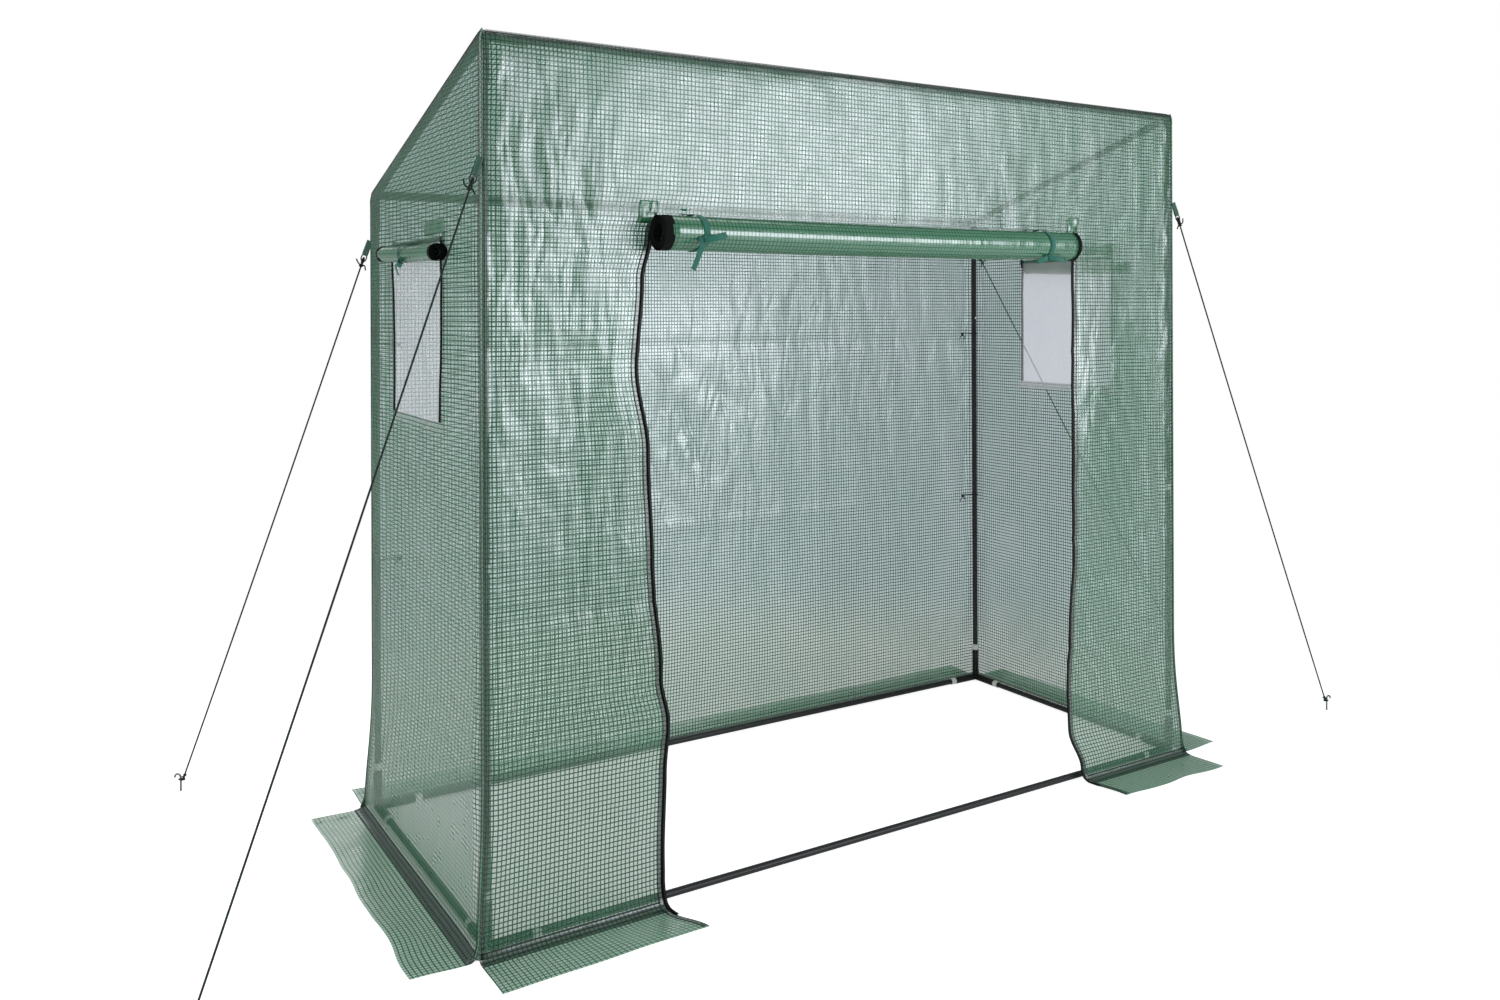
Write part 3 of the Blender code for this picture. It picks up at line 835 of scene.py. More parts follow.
def guy_line(place_name, sx, sy, height, ground):
    corner = np.array([sx * HALF_WIDTH, sy * HALF_DEPTH, height])
    anchor = np.array([ground[0], ground[1], ROPE_END_Z])
    pull = (anchor - corner) / np.linalg.norm(anchor - corner)
    level = np.cross(pull, (0, 0, 1.0))
    level /= np.linalg.norm(level)
    across = np.cross(level, pull)
    start = corner + pull * ROPE_START

    # strap: two layers of webbing, sewn together and round the ring
    ring_at = corner + pull * 0.047
    ring = sweep(
        f"guy_ring_{place_name}",
        oval(ring_at, pull * 0.0105, across * 0.0072, 32), circle(0.0016, 8), closed=True,
    )
    place(ring, CHAIN)
    route = smooth_path(
        [corner + pull * 0.002 + level * 0.0008, corner + pull * 0.020 + level * 0.0014,
         corner + pull * 0.034 + level * 0.0022, corner + pull * 0.0405 + level * 0.0008,
         corner + pull * 0.0405 - level * 0.0008, corner + pull * 0.034 - level * 0.0022,
         corner + pull * 0.020 - level * 0.0014, corner + pull * 0.002 - level * 0.0008],
        40,
    )
    width = np.linspace(-0.007, 0.007, 7)
    strap_points = route[:, None, :] + width[None, :, None] * across
    uv = pairs(width[None, :], lengths_along(route)[:, None])
    strap = thicken(grid(f"guy_strap_{place_name}", strap_points, uv), 0.0009)
    place(strap, WEBBING, replaces=[f"guy_tab_{place_name}"])

    # rope, with a slight sag, from the ring to the peg
    t = np.linspace(0, 1, 220)
    path = start + (anchor - start) * t[:, None]
    path[:, 2] -= ROPE_SAG * 4 * t * (1 - t)
    rope = sweep(f"guy_line_{place_name}", path, circle(ROPE_DIAMETER / 2, 9))
    place(rope, ROPE, replaces=[f"guy_rope_{place_name}"])
    axes = [pull, level, across]
    top_knot = sweep(
        f"guy_top_knot_{place_name}", trefoil(start + pull * 0.018, 0.011, [level, pull, across]),
        circle(0.0019, 8), closed=True,
    )
    top_loop_path = oval(ring_at + pull * 0.0085, pull * 0.009, level * 0.0042, 20)
    top_loop = sweep(f"guy_top_loop_{place_name}", top_loop_path, circle(0.0018, 8), closed=True)
    ends = [
        sweep(
            "rope_end",
            smooth_path(
                [start + pull * 0.018,
                 start + pull * 0.017 + across * reach * 0.5 + level * 0.003,
                 start + pull * drop + across * reach], 14
            ),
            circle(0.0017, 8),
        )
        for reach, drop in ((0.019, 0.008), (-0.015, 0.026))
    ]
    top = join(f"guy_knot_top_{place_name}", [top_knot, top_loop, *ends])
    place(top, ROPE)
    lean = np.array([pull[0], pull[1], 0]) / np.hypot(pull[0], pull[1])
    lower = [
        sweep("low_knot", trefoil(anchor - pull * 0.010, 0.010, axes), circle(0.0018, 8), closed=True)
    ]
    loop_centre = anchor + lean * (PEG_STANDOFF * 0.5)
    sideways_level = np.cross(lean, (0, 0, 1.0))
    lower.append(sweep(
        "low_loop",
        oval(loop_centre, lean * (PEG_STANDOFF * 0.5 + 0.0046), sideways_level * 0.0048, 24),
        circle(0.0018, 8), closed=True,
    ))
    low = place(join(f"guy_knot_low_{place_name}", lower), ROPE)


for guy_name, guy in GUY_LINES.items():
    guy_line(guy_name, *guy)

# --------------------------------------------------------------- cover

STEP = 0.0125
TOP_STEP = 0.004
FOLD_END = GROUND + FOLD_RADIUS - FOLD_RADIUS * RIGHT_ANGLE    # where the turn ends, along the cloth
SKIRT_END = FOLD_END - (SKIRT - FOLD_RADIUS)


def rows_to(top, marks):
    """Heights of a side's grid rows: coarse on the flat, fine round the fold and at the top."""
    fold = GROUND + FOLD_RADIUS
    low = steps([SKIRT_END, FOLD_END], STEP)
    bend = steps([FOLD_END, fold], TOP_STEP)[1:]
    body_rows = steps([fold, *marks, top - 0.02], STEP)[1:]
    last = steps([top - 0.02, top], TOP_STEP)[1:]
    return np.concatenate([low, bend, body_rows, last])


def columns(half, marks):
    fine = np.concatenate(
        [steps([-half, -half + 0.016], TOP_STEP), steps([-half + 0.016, -half + 0.08], 0.0064)[1:]]
    )
    middle = steps([-half + 0.08, *marks, half - 0.08], STEP)[1:]
    return np.concatenate([fine, middle, -fine[::-1][1:]])


def side_sheet(name, side, marks_s, marks_t, hole, replaces):
    """One side of the cover with its skirt, as one cut sheet."""
    half = SIDES[side]["half"]
    top = BACK_TOP if side != "front" else FRONT_TOP
    s = columns(half, marks_s)
    t = rows_to(top, marks_t)
    grid_s, grid_t = np.meshgrid(s, t)
    if side in ("left", "right"):
        spare = np.maximum(grid_t - marks_t[-1] - 0.012, 0) / (top - marks_t[-1] - 0.012)
        grid_t = grid_t + spare * (top_of(side, grid_s) - top)
    points = cover(side, grid_s, grid_t)
    middle_s = (grid_s[:-1, :-1] + grid_s[1:, 1:]) / 2
    middle_t = (grid_t[:-1, :-1] + grid_t[1:, 1:]) / 2
    keep = ~hole(middle_s, middle_t)
    item = grid(
        name, points, np.stack([grid_s, grid_t], -1), keep, flip=side in ("back", "left"),
        shares={
            "creased": creased(side, grid_s, grid_t),
            # painted shade along the top edge, where the cover lies over the dark top rail
            "rail_and_shade_dark": np.exp(-(((top_of(side, grid_s) - grid_t - 0.009) / 0.008) ** 2)),
        },
    )
    place(item, SHEET, replaces=replaces)
    area = float((keep * np.diff(grid_t, axis=0)[:, :-1] * np.diff(grid_s, axis=1)[:-1]).sum())
    return item, area


def no_hole(s, t):
    return np.zeros(s.shape, bool)


def door_hole(s, t):
    return (np.abs(s) < DOOR_HALF) & (t < DOOR_TOP)


def window_hole(s, t):
    return (s > NET_LOW.y) & (s < NET_HIGH.y) & (t > NET_LOW.z) & (t < NET_HIGH.z)


front, front_area = side_sheet(
    "front_sheet", "front", [-DOOR_HALF, DOOR_HALF], [DOOR_TOP], door_hole,
    ["cover_front_left", "cover_front_right", "cover_front_header", "skirt_front_left",
     "skirt_front_right"],
)
back, back_area = side_sheet(
    "back_sheet", "back", [0.0], [0.8], no_hole, ["cover_back", "skirt_back"]
)
(left, left_area), (right, right_area) = [
    side_sheet(
        f"{side_name}_sheet", side_name, [NET_LOW.y, NET_HIGH.y], [NET_LOW.z, NET_HIGH.z],
        window_hole, [f"cover_{side_name}_wall", f"skirt_{side_name}"],
    )
    for side_name in ("left", "right")
]
roof_s = columns(HALF_WIDTH, [0.0])
roof_r = np.concatenate([
    steps([0, 0.02], TOP_STEP), steps([0.02, ROOF_LENGTH - 0.02], STEP)[1:],
    steps([ROOF_LENGTH - 0.02, ROOF_LENGTH], TOP_STEP)[1:],
])
grid_s, grid_r = np.meshgrid(roof_s, roof_r)
roof_item = grid("roof_sheet", roof(grid_s, grid_r), np.stack([grid_s, grid_r], -1), flip=True)
place(roof_item, SHEET, replaces=["cover_roof"])

# --------------------------------------------------------------- seams, bands and patches


def band(name, points, across, along, thickness=0.0008, material=DOUBLED):
    """A sewn strip over an array of points, with its cloth lengths as its UV map."""
    item = thicken(grid(name, points, pairs(across, along)), thickness)
    return place(item, material)


STRIP = np.array([0.0085, 0.0065, 0.0045, 0.0022, 0.0])
LIFT = 0.0011


def corner_strip(name, side_a, end_a, side_b, end_b):
    """The doubled strip down a corner: in from side a, round the post, out on side b."""
    top = FRONT_TOP if "front" in (side_a, side_b) else BACK_TOP
    t = steps([0.004, 0.03, top - 0.02, top - 0.001], 0.02)
    parts = []
    for side, end, offsets in ((side_a, end_a, STRIP), (side_b, end_b, STRIP[::-1][1:])):
        s = end * (SIDES[side]["half"] - offsets)
        gs, gt = np.meshgrid(s, t)
        parts.append(cover(side, gs, np.minimum(gt, top_of(side, gs)), LIFT))
    points = np.concatenate(parts, axis=1)
    across = np.concatenate([-STRIP, STRIP[::-1][1:]])
    band(name, points, across[None, :], t[:, None])
    bead = points[:, len(STRIP) - 1]
    outward = np.array([np.sign(bead[0, 0]), np.sign(bead[0, 1]), 0]) / math.sqrt(2)
    bead = smooth_path(bead + outward * 0.0014, 4 * len(bead))
    return place(sweep(name + "_piping", bead, circle(0.0017, 8)), ROLLED)


corner_strip("seam_front_left", "left", -1, "front", -1)
corner_strip("seam_front_right", "front", 1, "right", -1)
corner_strip("seam_back_left", "left", 1, "back", -1)
corner_strip("seam_back_right", "back", 1, "right", 1)


def top_strip(name, side, width_wall=0.0045, width_roof=0.010):
    """The doubled strip over a top edge."""
    half = SIDES[side]["half"]
    s = steps([-half, -half + 0.016, half - 0.016, half], 0.02)
    drop = np.linspace(width_wall, 0, 8)
    gs, gd = np.meshgrid(s, drop)
    wall_part = cover(side, gs, top_of(side, gs) - gd, LIFT)
    run = np.linspace(0, width_roof, 6)[1:]
    gs, gr = np.meshgrid(s, run)
    if side == "front":
        roof_part = roof(gs, gr, LIFT)
    elif side == "back":
        roof_part = roof(gs, ROOF_LENGTH - gr, LIFT)
    else:
        edge = -1 if side == "left" else 1
        roof_part = roof(edge * (HALF_WIDTH - gr), (gs + HALF_DEPTH) / math.cos(ROOF_ANGLE), LIFT)
    points = np.concatenate([wall_part, roof_part], axis=0)
    across = np.concatenate([-drop, run])
    return band(name, points, across[:, None], s[None, :])


for side_name in SIDES:
    top_strip(f"seam_top_{side_name}", side_name)


def fold_band(name, side, s0, s1):
    """The sewn band where the wall turns out into its skirt."""
    s = steps([s0, s1], 0.02)
    t = np.linspace(GROUND + FOLD_RADIUS - 0.004, FOLD_END - 0.004, 8)
    gs, gt = np.meshgrid(s, t)
    return band(name, cover(side, gs, gt, LIFT), t[:, None], s[None, :])


fold_band("skirt_band_left", "left", -HALF_DEPTH, HALF_DEPTH)
fold_band("skirt_band_right", "right", -HALF_DEPTH, HALF_DEPTH)
fold_band("skirt_band_back", "back", -HALF_WIDTH, HALF_WIDTH)
fold_band("skirt_band_front_left", "front", -HALF_WIDTH, -DOOR_HALF)
fold_band("skirt_band_front_right", "front", DOOR_HALF, HALF_WIDTH)


def patch(name, side, s0, s1, t0, t1):
    """A reinforcing patch sewn on a side."""
    gs, gt = np.meshgrid(steps([s0, s1], 0.004), steps([t0, t1], 0.004))
    pucker = 0.0022 * noise(gs / 0.012, gt / 0.018, 77) * ease((gt - t0) / 0.01)
    points = cover(side, gs, gt, 0.0016)
    points += pucker[..., None] * np.array(SIDES[side]["out"])
    return band(name, points, gs, gt, 0.001, ROLLED)


patch("door_patch_left", "front", -DOOR_HALF - 0.040, -DOOR_HALF + 0.004, 1.418, 1.466)
patch("door_patch_right", "front", DOOR_HALF - 0.020, DOOR_HALF + 0.016, 1.428, 1.476)
for side_name, sign in (("left", -1), ("right", 1)):
    hem_s = sign * (DOOR_HALF + np.linspace(0.003, 0.014, 5))
    gs, gt = np.meshgrid(hem_s, steps([SKIRT_END + 0.004, DOOR_TOP + 0.01], 0.0125))
    band(f"door_hem_{side_name}", cover("front", gs, gt, LIFT), gs - hem_s[2], gt)
    gs, gt = np.meshgrid(sign * np.linspace(0.07, 0.20, 22), np.linspace(1.399, 1.428, 8))
    gs = -np.abs(gs)
    points = cover(side_name, gs, gt, 0.0016)
    points[..., 0] += sign * 0.0012 * noise(gs / 0.015, gt / 0.012, 79)
    band(f"window_patch_{side_name}", points, gs, gt, 0.001, ROLLED)

# --------------------------------------------------------------- zips

ZIP_LIFT = 0.0018    # of the tape off the sheet


def zip_line(name, side, s_at, t0, t1, width=0.009):
    """Zip tape with its chain along one edge of an opening."""
    t = steps([t0, t1], 0.006)
    offsets = np.linspace(-width / 2, width / 2, 5)
    gs, gt = np.meshgrid(s_at + offsets, t)
    band(name, cover(side, gs, gt, ZIP_LIFT), gs - s_at, gt, 0.0008, TAPE)
    fine = steps([t0, t1], 0.0011)
    path = cover(side, np.full(fine.shape, s_at), fine, ZIP_LIFT + 0.0012)
    swell = 1 + 0.22 * np.cos(np.arange(len(fine)) * np.pi)
    chain = sweep(name + "_chain", path, flat_section(0.0044, 0.0024), swell=swell)
    return place(chain, CHAIN)


zip_line("door_zip_left", "front", -DOOR_HALF, -0.035, DOOR_TOP)
zip_line("door_zip_right", "front", DOOR_HALF, -0.035, DOOR_TOP)
for side_name in ("left", "right"):
    for end_name, edge in (("front", NET_LOW.y), ("back", NET_HIGH.y)):
        zip_line(f"window_zip_{side_name}_{end_name}", side_name, edge, NET_LOW.z, NET_HIGH.z, 0.007)
    low_s = steps([NET_LOW.y - 0.012, NET_HIGH.y + 0.012], 0.012)
    low_t = np.linspace(NET_LOW.z - 0.020, NET_LOW.z + 0.002, 5)
    gs, gt = np.meshgrid(low_s, low_t)
    gt += 0.003 * noise(gs / 0.05, 0.3, 83) * (gt < NET_LOW.z - 0.015)
    band(f"window_sill_{side_name}", cover(side_name, gs, gt, -LIFT), gs, gt, 0.0005, NET)
    top_t = np.linspace(NET_HIGH.z - 0.002, NET_HIGH.z + 0.007, 4)
    gs, gt = np.meshgrid(low_s, top_t)
    band(f"window_head_{side_name}", cover(side_name, gs, gt, LIFT), gt, gs)

for node_name, node in NODES.items():
    if "zip_slider" not in node_name:
        continue
    low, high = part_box(node_name)
    middle = (low + high) / 2
    front_zip = node_name.startswith("door")
    out = Vector((0, -1, 0)) if front_zip else Vector((-1 if "left" in node_name else 1, 0, 0))
    aside = Vector((1, 0, 0)) if front_zip else Vector((0, 1, 0))
    face = middle + out * 0.0032
    bail = [
        face + Vector((0, 0, 0.006)), face + out * 0.003 + Vector((0, 0, 0.003)),
        face + out * 0.0034 - Vector((0, 0, 0.004)), face - Vector((0, 0, 0.007)),
    ]
    parts = [sweep("bail", smooth_path(bail, 14), circle(0.0009, 8))]
    tab = smooth_path(
        [face + out * 0.0032 - Vector((0, 0, 0.003)), face + out * 0.0034 - Vector((0, 0, 0.014)),
         face + out * 0.0016 - Vector((0, 0, 0.032)) + aside * 0.001], 16)
    swell = 1 + 0.5 * ease((np.arange(16) - 9) / 6)
    parts.append(sweep("pull", tab, flat_section(0.0046, 0.0016), swell=swell))
    place(join("pull_" + node_name, parts), CHAIN, body=node_name)

# --------------------------------------------------------------- rolled sheets


def rolled(
    name, axis, centre, outer, inner, turns, ends, material, seed, cols=70, sag=0.003, tilt=0.0
):
    """A sheet wound into a roll along axis; ends are its two distances from centre."""
    axis = np.array(axis, float)
    up = np.array([0, 0, 1.0])
    out = np.cross(axis, up)
    count = int(turns * 34)
    angle = np.linspace(0, 2 * np.pi * turns, count)
    radius = outer - (outer - inner) * (angle / angle[-1]) ** 0.9
    along = np.linspace(ends[0], ends[1], cols)
    ga, gl = np.meshgrid(angle, along, indexing="ij")
    gr = np.broadcast_to(radius[:, None], ga.shape).copy()
    gr += 0.0012 * noise(gl / 0.40, ga * 1.3 + gl * 0.8, seed) * ease((gr - inner) / 0.006)
    gr += 0.0005 * noise(gl / 0.10, ga * 3.0, seed + 1)
    gr = np.minimum(gr, outer)
    drop = -sag * np.cos(np.pi * gl / (2 * max(abs(ends[0]), abs(ends[1])))) + tilt * gl
    sweep_angle = ga + 0.5
    points = (
        np.asarray(centre)
        + gl[..., None] * axis
        + (gr * np.cos(sweep_angle))[..., None] * up
        + (gr * np.sin(sweep_angle))[..., None] * out
    )
    points[..., 2] += drop
    uv = np.stack([gl, ga * outer], axis=-1)
    item = grid(name, points, uv)
    return place(item, material, body=None)


def hang_roll(item, body, joint, out, anchor, keep, thickness, replaces=()):
    """Gives a wound sheet its thickness and its body, and hides the parts it replaces."""
    thicken(item, thickness, -1.0)
    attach(item, body)
    if replaces:
        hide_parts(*replaces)
    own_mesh(item)


door_low, door_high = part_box("door_roll")
door_centre = (door_low + door_high) / 2
DOOR_ROLL = (door_high.z - door_low.z) / 2
roll_half = (door_high.x - door_low.x) / 2
door_roll = rolled(
    "door_roll_sheet", (1, 0, 0), door_centre, DOOR_ROLL, DOOR_ROLL - 0.016, 4.6,
    (-roll_half + 0.018, roll_half - 0.007), ROLLED, 301,
)
door_hanging = ("door_roll", "door_roll_down", (0, 1, 0), (0, -HALF_DEPTH - 0.025, door_centre.z), 0.10)
hang_roll(door_roll, *door_hanging, thickness=0.0007, replaces=["door_roll"])
for end_name, near, far in (
    ("left", -roll_half, -roll_half + 0.022), ("right", roll_half - 0.010, roll_half)
):
    tape = rolled(
        f"door_roll_tape_{end_name}", (1, 0, 0), door_centre, DOOR_ROLL + 0.0004, DOOR_ROLL - 0.017,
        5.2, (near, far), TAPE, 311, cols=8, sag=0.0,
    )
    hang_roll(tape, *door_hanging, thickness=0.0012)

WINDOW_ROLL_TILT = 0.030
for side_name in ("left", "right"):
    low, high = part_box(f"window_roll_{side_name}")
    centre = (low + high) / 2
    radius = (high.z - low.z) / 2
    half = (high.y - low.y) / 2
    wall_x = -HALF_WIDTH if side_name == "left" else HALF_WIDTH
    hanging = (
        f"window_roll_{side_name}", f"window_roll_down_{side_name}", (1, 0, 0),
        (wall_x * 1.017, 0, centre.z), 0.12,
    )
    sheet_roll = rolled(
        f"window_roll_sheet_{side_name}", (0, 1, 0), centre, radius, radius - 0.011, 3.4,
        (-half + 0.012, half - 0.012), ROLLED, 331 if side_name == "left" else 347,
        cols=30, sag=0.0015, tilt=WINDOW_ROLL_TILT,
    )
    hang_roll(sheet_roll, *hanging, thickness=0.0006, replaces=[f"window_roll_{side_name}"])
    for end_name, near, far in (("front", -half, -half + 0.014), ("back", half - 0.014, half)):
        tape = rolled(
            f"window_roll_tape_{side_name}_{end_name}", (0, 1, 0), centre, radius + 0.0004,
            radius - 0.012, 3.8, (near, far), TAPE, 351, cols=6, sag=0.0,
            tilt=WINDOW_ROLL_TILT,
        )
        hang_roll(tape, *hanging, thickness=0.0011)

# --------------------------------------------------------------- nets and the sheet above each roll

WINDOW_TRAVEL, DOOR_TRAVEL = 0.38, 1.34    # how far each roll goes down


def unrolled(low_z, high_z, travel, count):
    """Heights at rest, and where the lowered sheet has them, for evenly spaced rows once lowered."""
    lowered = np.linspace(high_z, low_z - travel, count)
    t = np.linspace(0, 1, 4001)
    reached = high_z - t * (high_z - low_z) - ease(t) * travel
    share = np.interp(lowered[::-1], reached[::-1], t[::-1])[::-1]
    return high_z - share * (high_z - low_z), lowered


for side_name in ("left", "right"):
    gs, gt = np.meshgrid(
        steps([NET_LOW.y, NET_HIGH.y], 0.009), steps([NET_LOW.z, NET_HIGH.z], 0.009)
    )
    net = grid(f"window_mesh_{side_name}", cover(side_name, gs, gt), np.stack([gs, gt], -1))
    place(net, NET, replaces=[f"window_net_{side_name}"])
    low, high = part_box(f"window_curtain_{side_name}")
    roll_z = sum(c.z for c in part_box(f"window_roll_{side_name}")) / 2
    rest_z, lowered_z = unrolled(roll_z, high.z, WINDOW_TRAVEL, 46)
    gs, gz = np.meshgrid(steps([low.y, high.y], 0.012), rest_z)
    _, gl = np.meshgrid(gs[0], lowered_z)
    wall = cover(side_name, gs, np.maximum(gl, 0.9))
    x = (low.x + high.x) / 2
    bulge = (np.abs(wall[..., 0]) - HALF_WIDTH) * np.sign(x)
    points = np.stack([x + bulge + np.sign(x) * 0.0035, gs, gz], -1)
    curtain = grid(f"window_flap_{side_name}", points, np.stack([gs, gl], -1))
    place(curtain, SHEET, body=None, replaces=[f"window_curtain_{side_name}"])
    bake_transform(curtain)

low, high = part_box("door_curtain")
rest_z, lowered_z = unrolled(door_centre.z, high.z, DOOR_TRAVEL, 118)
gs, gz = np.meshgrid(steps([low.x, high.x], 0.0125), rest_z)
_, gl = np.meshgrid(gs[0], lowered_z)
drift = sideways(gs, np.maximum(gl, 0.06)) * ease((DOOR_TOP - gl) / 0.05)
depth = -HALF_DEPTH + 0.0012 - rumple(gs, gl, 531) * ease((DOOR_TOP - gl) / 0.2) * 0.8
points = np.stack([gs + drift, depth, gz], -1)
door_curtain = grid("door_sheet", points, np.stack([gs, gl], -1))
place(door_curtain, SHEET, body=None, replaces=["door_curtain"])
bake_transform(door_curtain)

# --------------------------------------------------------------- ribbon ties

RIBBON_THICKNESS = 0.0006


def ribbon(name, path, side, width):
    """A flat ribbon along a path, its width along side."""
    path = np.asarray(path, float)
    offsets = np.linspace(-width / 2, width / 2, 4)
    points = path[:, None, :] + offsets[None, :, None] * np.asarray(side, float)
    uv = pairs(offsets[None, :], lengths_along(path)[:, None])
    return thicken_now(grid(name, points, uv), RIBBON_THICKNESS)


def tie(name, axis, out, centre, radius, at, knot_angle, tails, hang_z, width=0.0145):
    """A ribbon sewn to the cover above a roll, round it, and knotted with two tails."""
    axis, out, up = np.array(axis, float), np.array(out, float), np.array([0, 0, 1.0])
    middle = np.asarray(centre, float) + axis * at
    angle = np.linspace(0, 2 * np.pi, 56)
    around = [
        middle + (radius + 0.0012) * (np.cos(a) * up + np.sin(a) * out) + axis * 0.011 * np.sin(a)
        for a in angle
    ]
    parts = [ribbon("loop", around, axis, width)]
    behind = middle + (radius + 0.001) * up
    wall = middle - out * (np.dot(middle, out) - hang_z[0])
    wall[2] = hang_z[1]
    hanger_path = smooth_path([wall, wall - up * 0.012 + out * 0.001, behind + out * 0.001], 14)
    parts.append(ribbon("hanger", hanger_path, axis, width))
    knot = middle + (radius + 0.0045) * (math.cos(knot_angle) * up + math.sin(knot_angle) * out)
    parts.append(sweep(
        "knot", trefoil(knot, width * 1.15, [axis, np.cross(out, axis), out]),
        flat_section(width * 0.5, 0.0030),
        closed=True,
    ))
    for dx, dz, curl in tails:
        end = knot + axis * dx + up * dz + out * 0.002
        mid = knot + axis * dx * 0.45 + up * dz * 0.35 + out * (0.006 + curl)
        path = smooth_path([knot + out * 0.002, mid, end], 18)
        run = np.array([axis * dx + up * dz] * 18)
        side = np.cross(run[0] / np.linalg.norm(run[0]), out)
        twist = np.linspace(0, 0.1 + curl * 30, 18)[:, None]
        sides = side * np.cos(twist) + out * np.sin(twist)
        offsets = np.linspace(-width * 0.45, width * 0.45, 4)
        points = path[:, None, :] + offsets[None, :, None] * sides[:, None, :]
        length = np.linspace(0, np.hypot(dx, dz), 18)
        uv = pairs(offsets[None, :], length[:, None])
        parts.append(thicken_now(grid("tail", points, uv), RIBBON_THICKNESS, -1.0))
    item = place(join(name, parts), RIBBON)
    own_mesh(item)
    return item


FRONT_OUT = (0, -1, 0)
for side_name, at, knot_angle, tails in (
    ("left", -0.511, math.radians(112), ((-0.024, -0.062, 0.004), (0.056, 0.012, 0.007))),
    ("right", 0.484, math.radians(138), ((-0.036, -0.012, 0.003), (0.062, -0.010, 0.006))),
):
    tie(
        f"door_tie_{side_name}", (1, 0, 0), FRONT_OUT, door_centre, DOOR_ROLL, at, knot_angle, tails,
        (HALF_DEPTH + 0.002, 1.452),
    )
for side_name, sign in (("left", -1), ("right", 1)):
    low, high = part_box(f"window_roll_{side_name}")
    tie(
        f"window_tie_{side_name}", (0, 1, 0), (sign, 0, 0), (low + high) / 2,
        (high.z - low.z) / 2, 0.010, math.radians(140),
        ((0.010, -0.030, 0.003), (-0.014, -0.012, 0.004)),
        (HALF_WIDTH + 0.002, NET_HIGH.z + 0.014), 0.012,
    )

# --------------------------------------------------------------- small hard parts


def lathe(name, base, axis, profile, count=28):
    """A ring or button turned from a profile of (radius, distance along axis)."""
    axis = Vector(axis).normalized()
    side = axis.orthogonal().normalized()
    up = axis.cross(side)
    angle = np.linspace(0, 2 * np.pi, count, endpoint=False)
    points = np.array([
        [Vector(base) + axis * d + (side * math.cos(a) + up * math.sin(a)) * r for a in angle]
        for r, d in profile
    ])
    quads = ring_quads(len(profile), count, closed=True)[1]
    return add_mesh(name, points.reshape(-1, 3), quads)


COLLAR_PROFILE = [
    (0.0084, 0.0), (0.0098, 0.0), (0.0102, 0.0008), (0.0102, 0.0172), (0.0098, 0.018), (0.0084, 0.018),
    (0.0084, 0.009),
]
collars = []
for sx, sy, corner_name in (
    (-1, -1, "front_left"), (1, -1, "front_right"), (-1, 1, "back_left"), (1, 1, "back_right")
):
    low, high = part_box(f"corner_bottom_{corner_name}")
    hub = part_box(f"rail_bottom_{'left' if sx < 0 else 'right'}")
    x = (hub[0].x + hub[1].x) / 2
    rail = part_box(f"rail_bottom_{'front' if sy < 0 else 'back'}")
    y = (rail[0].y + rail[1].y) / 2
    z = (rail[0].z + rail[1].z) / 2
    collars.append(lathe(f"collar_{corner_name}_up", (x, y, high.z + 0.0005), (0, 0, 1), COLLAR_PROFILE))
    inner_x = high.x if sx < 0 else low.x
    inner_y = high.y if sy < 0 else low.y
    collars.append(lathe(
        f"collar_{corner_name}_x", (inner_x - sx * 0.0005, y, z), (-sx, 0, 0), COLLAR_PROFILE
    ))
    collars.append(lathe(
        f"collar_{corner_name}_y", (x, inner_y - sy * 0.0005, z), (0, -sy, 0), COLLAR_PROFILE
    ))
joint_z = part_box("upright_front_left_lower")[1].z
for sign, corner_name in ((-1, "left"), (1, "right")):
    low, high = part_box(f"upright_front_{corner_name}_lower")
    collars.append(lathe(
        f"collar_joint_{corner_name}", ((low.x + high.x) / 2, (low.y + high.y) / 2, joint_z - 0.009),
        (0, 0, 1), COLLAR_PROFILE,
    ))
for item in collars:
    place(item, COLLAR)

low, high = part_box("upright_back_right")
post = Vector(((low.x + high.x) / 2, (low.y + high.y) / 2, 1.21))
button = lathe(
    "snap_button_back_right", post + Vector((0, -0.0078, 0)), (0, -1, 0),
    [(0.0002, 0.0), (0.0036, 0.0), (0.0036, 0.0008), (0.0026, 0.0022), (0.0010, 0.0027), (0.0002, 0.0028)],
    20,
)
place(button, COLLAR)

for sign, z in ((1, 1.157), (-1, 1.157), (1, 0.62), (-1, 0.62)):
    x = sign * 0.960
    knot_at = np.array([x - sign * 0.026, HALF_DEPTH - 0.014, z])
    axes = [(1, 0, 0), (0, 0, 1), (0, -1, 0)]
    parts = [sweep("knot", trefoil(knot_at, 0.011, axes, 40), flat_section(0.0042, 0.0020), closed=True)]
    post_x = sign * abs(post.x)
    angle = np.linspace(0, 2 * np.pi, 30, endpoint=False)
    ring_path = np.stack([
        post_x + 0.0104 * np.cos(angle) - sign * 0.0006, post.y + 0.0104 * np.sin(angle),
        z + 0.0 * angle,
    ], axis=1)
    parts.append(sweep("loop", ring_path, circle(0.0012, 8), closed=True))
    parts.append(sweep("lead", smooth_path(
        [(post_x - sign * 0.0106, post.y + 0.002, z), (x - sign * 0.012, post.y + 0.004, z + 0.002),
         tuple(knot_at)], 12), circle(0.0012, 8)))
    for dx in (-0.014, 0.008):
        parts.append(sweep("end", smooth_path(
            [tuple(knot_at), (knot_at[0] + dx * 0.6, knot_at[1] - 0.003, z - 0.006),
             (knot_at[0] + dx, knot_at[1] - 0.002, z - 0.018)], 10), circle(0.0011, 8)))
    name = f"inner_tie_{'right' if sign > 0 else 'left'}_{'high' if z > 1 else 'low'}"
    place(join(name, parts), ROPE)

# --------------------------------------------------------------- CAD parts that show

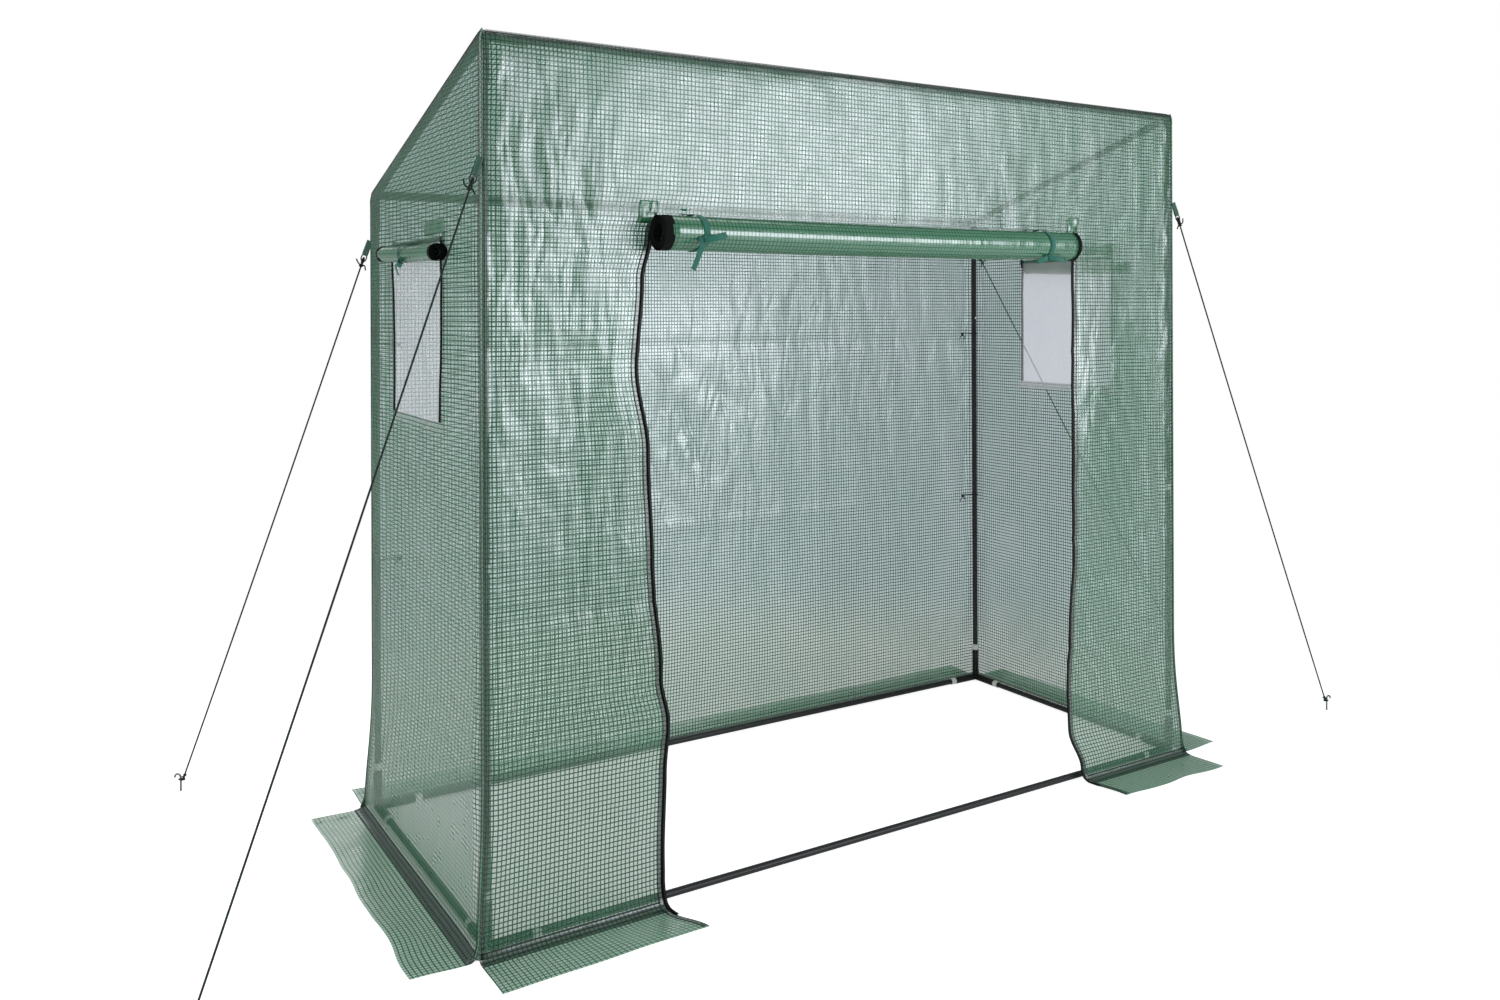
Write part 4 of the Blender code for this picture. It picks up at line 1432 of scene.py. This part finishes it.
for node_name, node in NODES.items():
    if node.hide_render:
        continue
    if node_name.startswith("corner_"):
        finish = PLASTIC
    elif "zip_slider" in node_name:
        finish = CHAIN
    elif node_name.startswith("guy_peg"):
        finish = PEG
    else:
        finish = STEEL
    for material_slot in node.material_slots:
        material_slot.link = "OBJECT"
        material_slot.material = finish

# --------------------------------------------------------------- floor, world and lights

SEEN_THROUGH = (0.60, 0.645, 0.72)    # the backdrop where sheet or net is in front of it
FLOOR_FADE = (1.1, 2.6)    # metres from the middle over which the floor turns into backdrop

floor = add_mesh(
    "floor", [(-14, -12, -0.0004), (14, -12, -0.0004), (14, 16, -0.0004), (-14, 16, -0.0004)],
    [(0, 1, 2, 3)], smooth=False,
)
m = Material("pale_floor")
path_node = m.add("ShaderNodeLightPath")
camera_ray, passed = path_node.outputs["Is Camera Ray"], path_node.outputs["Transparent Depth"]
seen = m.math("MULTIPLY", camera_ray, m.math("SUBTRACT", 1.0, passed, clamp=True))
floor_shader = m.add(
    "ShaderNodeBsdfPrincipled",
    {
        "Base Color": (0.62, 0.62, 0.62, 1.0), "Roughness": 0.8, "Specular IOR Level": 0.1,
        "Emission Color": (1.0, 1.0, 1.0, 1.0),
        "Emission Strength": m.math("MULTIPLY_ADD", seen, 0.60, 0.26),
    },
)
away = m.add("ShaderNodeVectorMath", {0: m.place()}, operation="LENGTH").outputs["Value"]
far = m.math("MULTIPLY", m.step(away, FLOOR_FADE[0], FLOOR_FADE[1]), camera_ray)
far_tone = m.mix(seen, (*SEEN_THROUGH, 1.0), (1.0, 1.0, 1.0, 1.0))
far_glow = m.add("ShaderNodeEmission", {"Color": far_tone})
floor.data.materials.append(m.finish(m.mix_shader(far, floor_shader, far_glow)))

world = bpy.data.worlds.new("world")
scene.world = world
m = Nodes(world, "ShaderNodeOutputWorld")
path_node = m.add("ShaderNodeLightPath")
camera_ray, passed = path_node.outputs["Is Camera Ray"], path_node.outputs["Transparent Depth"]
straight = m.add("ShaderNodeBackground", {"Color": (1.0, 1.0, 1.0, 1.0)})
ambient = m.add("ShaderNodeBackground", {"Color": (0.94, 0.97, 1.0, 1.0), "Strength": 0.35})
through_sheet = m.add("ShaderNodeBackground", {"Color": (*SEEN_THROUGH, 1.0)})
direct = m.math("SUBTRACT", 1.0, passed, clamp=True)
m.finish(m.mix_shader(camera_ray, ambient, m.mix_shader(direct, through_sheet, straight)))


def softbox(name, where, towards, size, power, colour=(1, 1, 1)):
    light = bpy.data.lights.new(name, "AREA")
    light.shape = "RECTANGLE"
    light.size, light.size_y = size
    light.energy = power
    light.color = colour
    item = bpy.data.objects.new(name, light)
    item.location = where
    direction = Vector(towards) - Vector(where)
    item.rotation_euler = direction.to_track_quat("-Z", "Y").to_euler()
    item.visible_camera = False
    scene.collection.objects.link(item)


softbox("key", (2.3, -4.6, 1.8), (0, 0, 1.1), (2.7, 2.4), 138, (0.92, 0.965, 1.0))
softbox("fill", (-5.0, -1.0, 2.2), (0, 0, 0.9), (3.0, 3.0), 84)
softbox("top", (0.0, 0.8, 5.0), (0, 0, 0), (4.0, 4.0), 75)
softbox("rear", (1.0, 5.5, 2.2), (0, 0, 1.0), (3.5, 2.5), 42)

scene.view_settings.view_transform = "Standard"
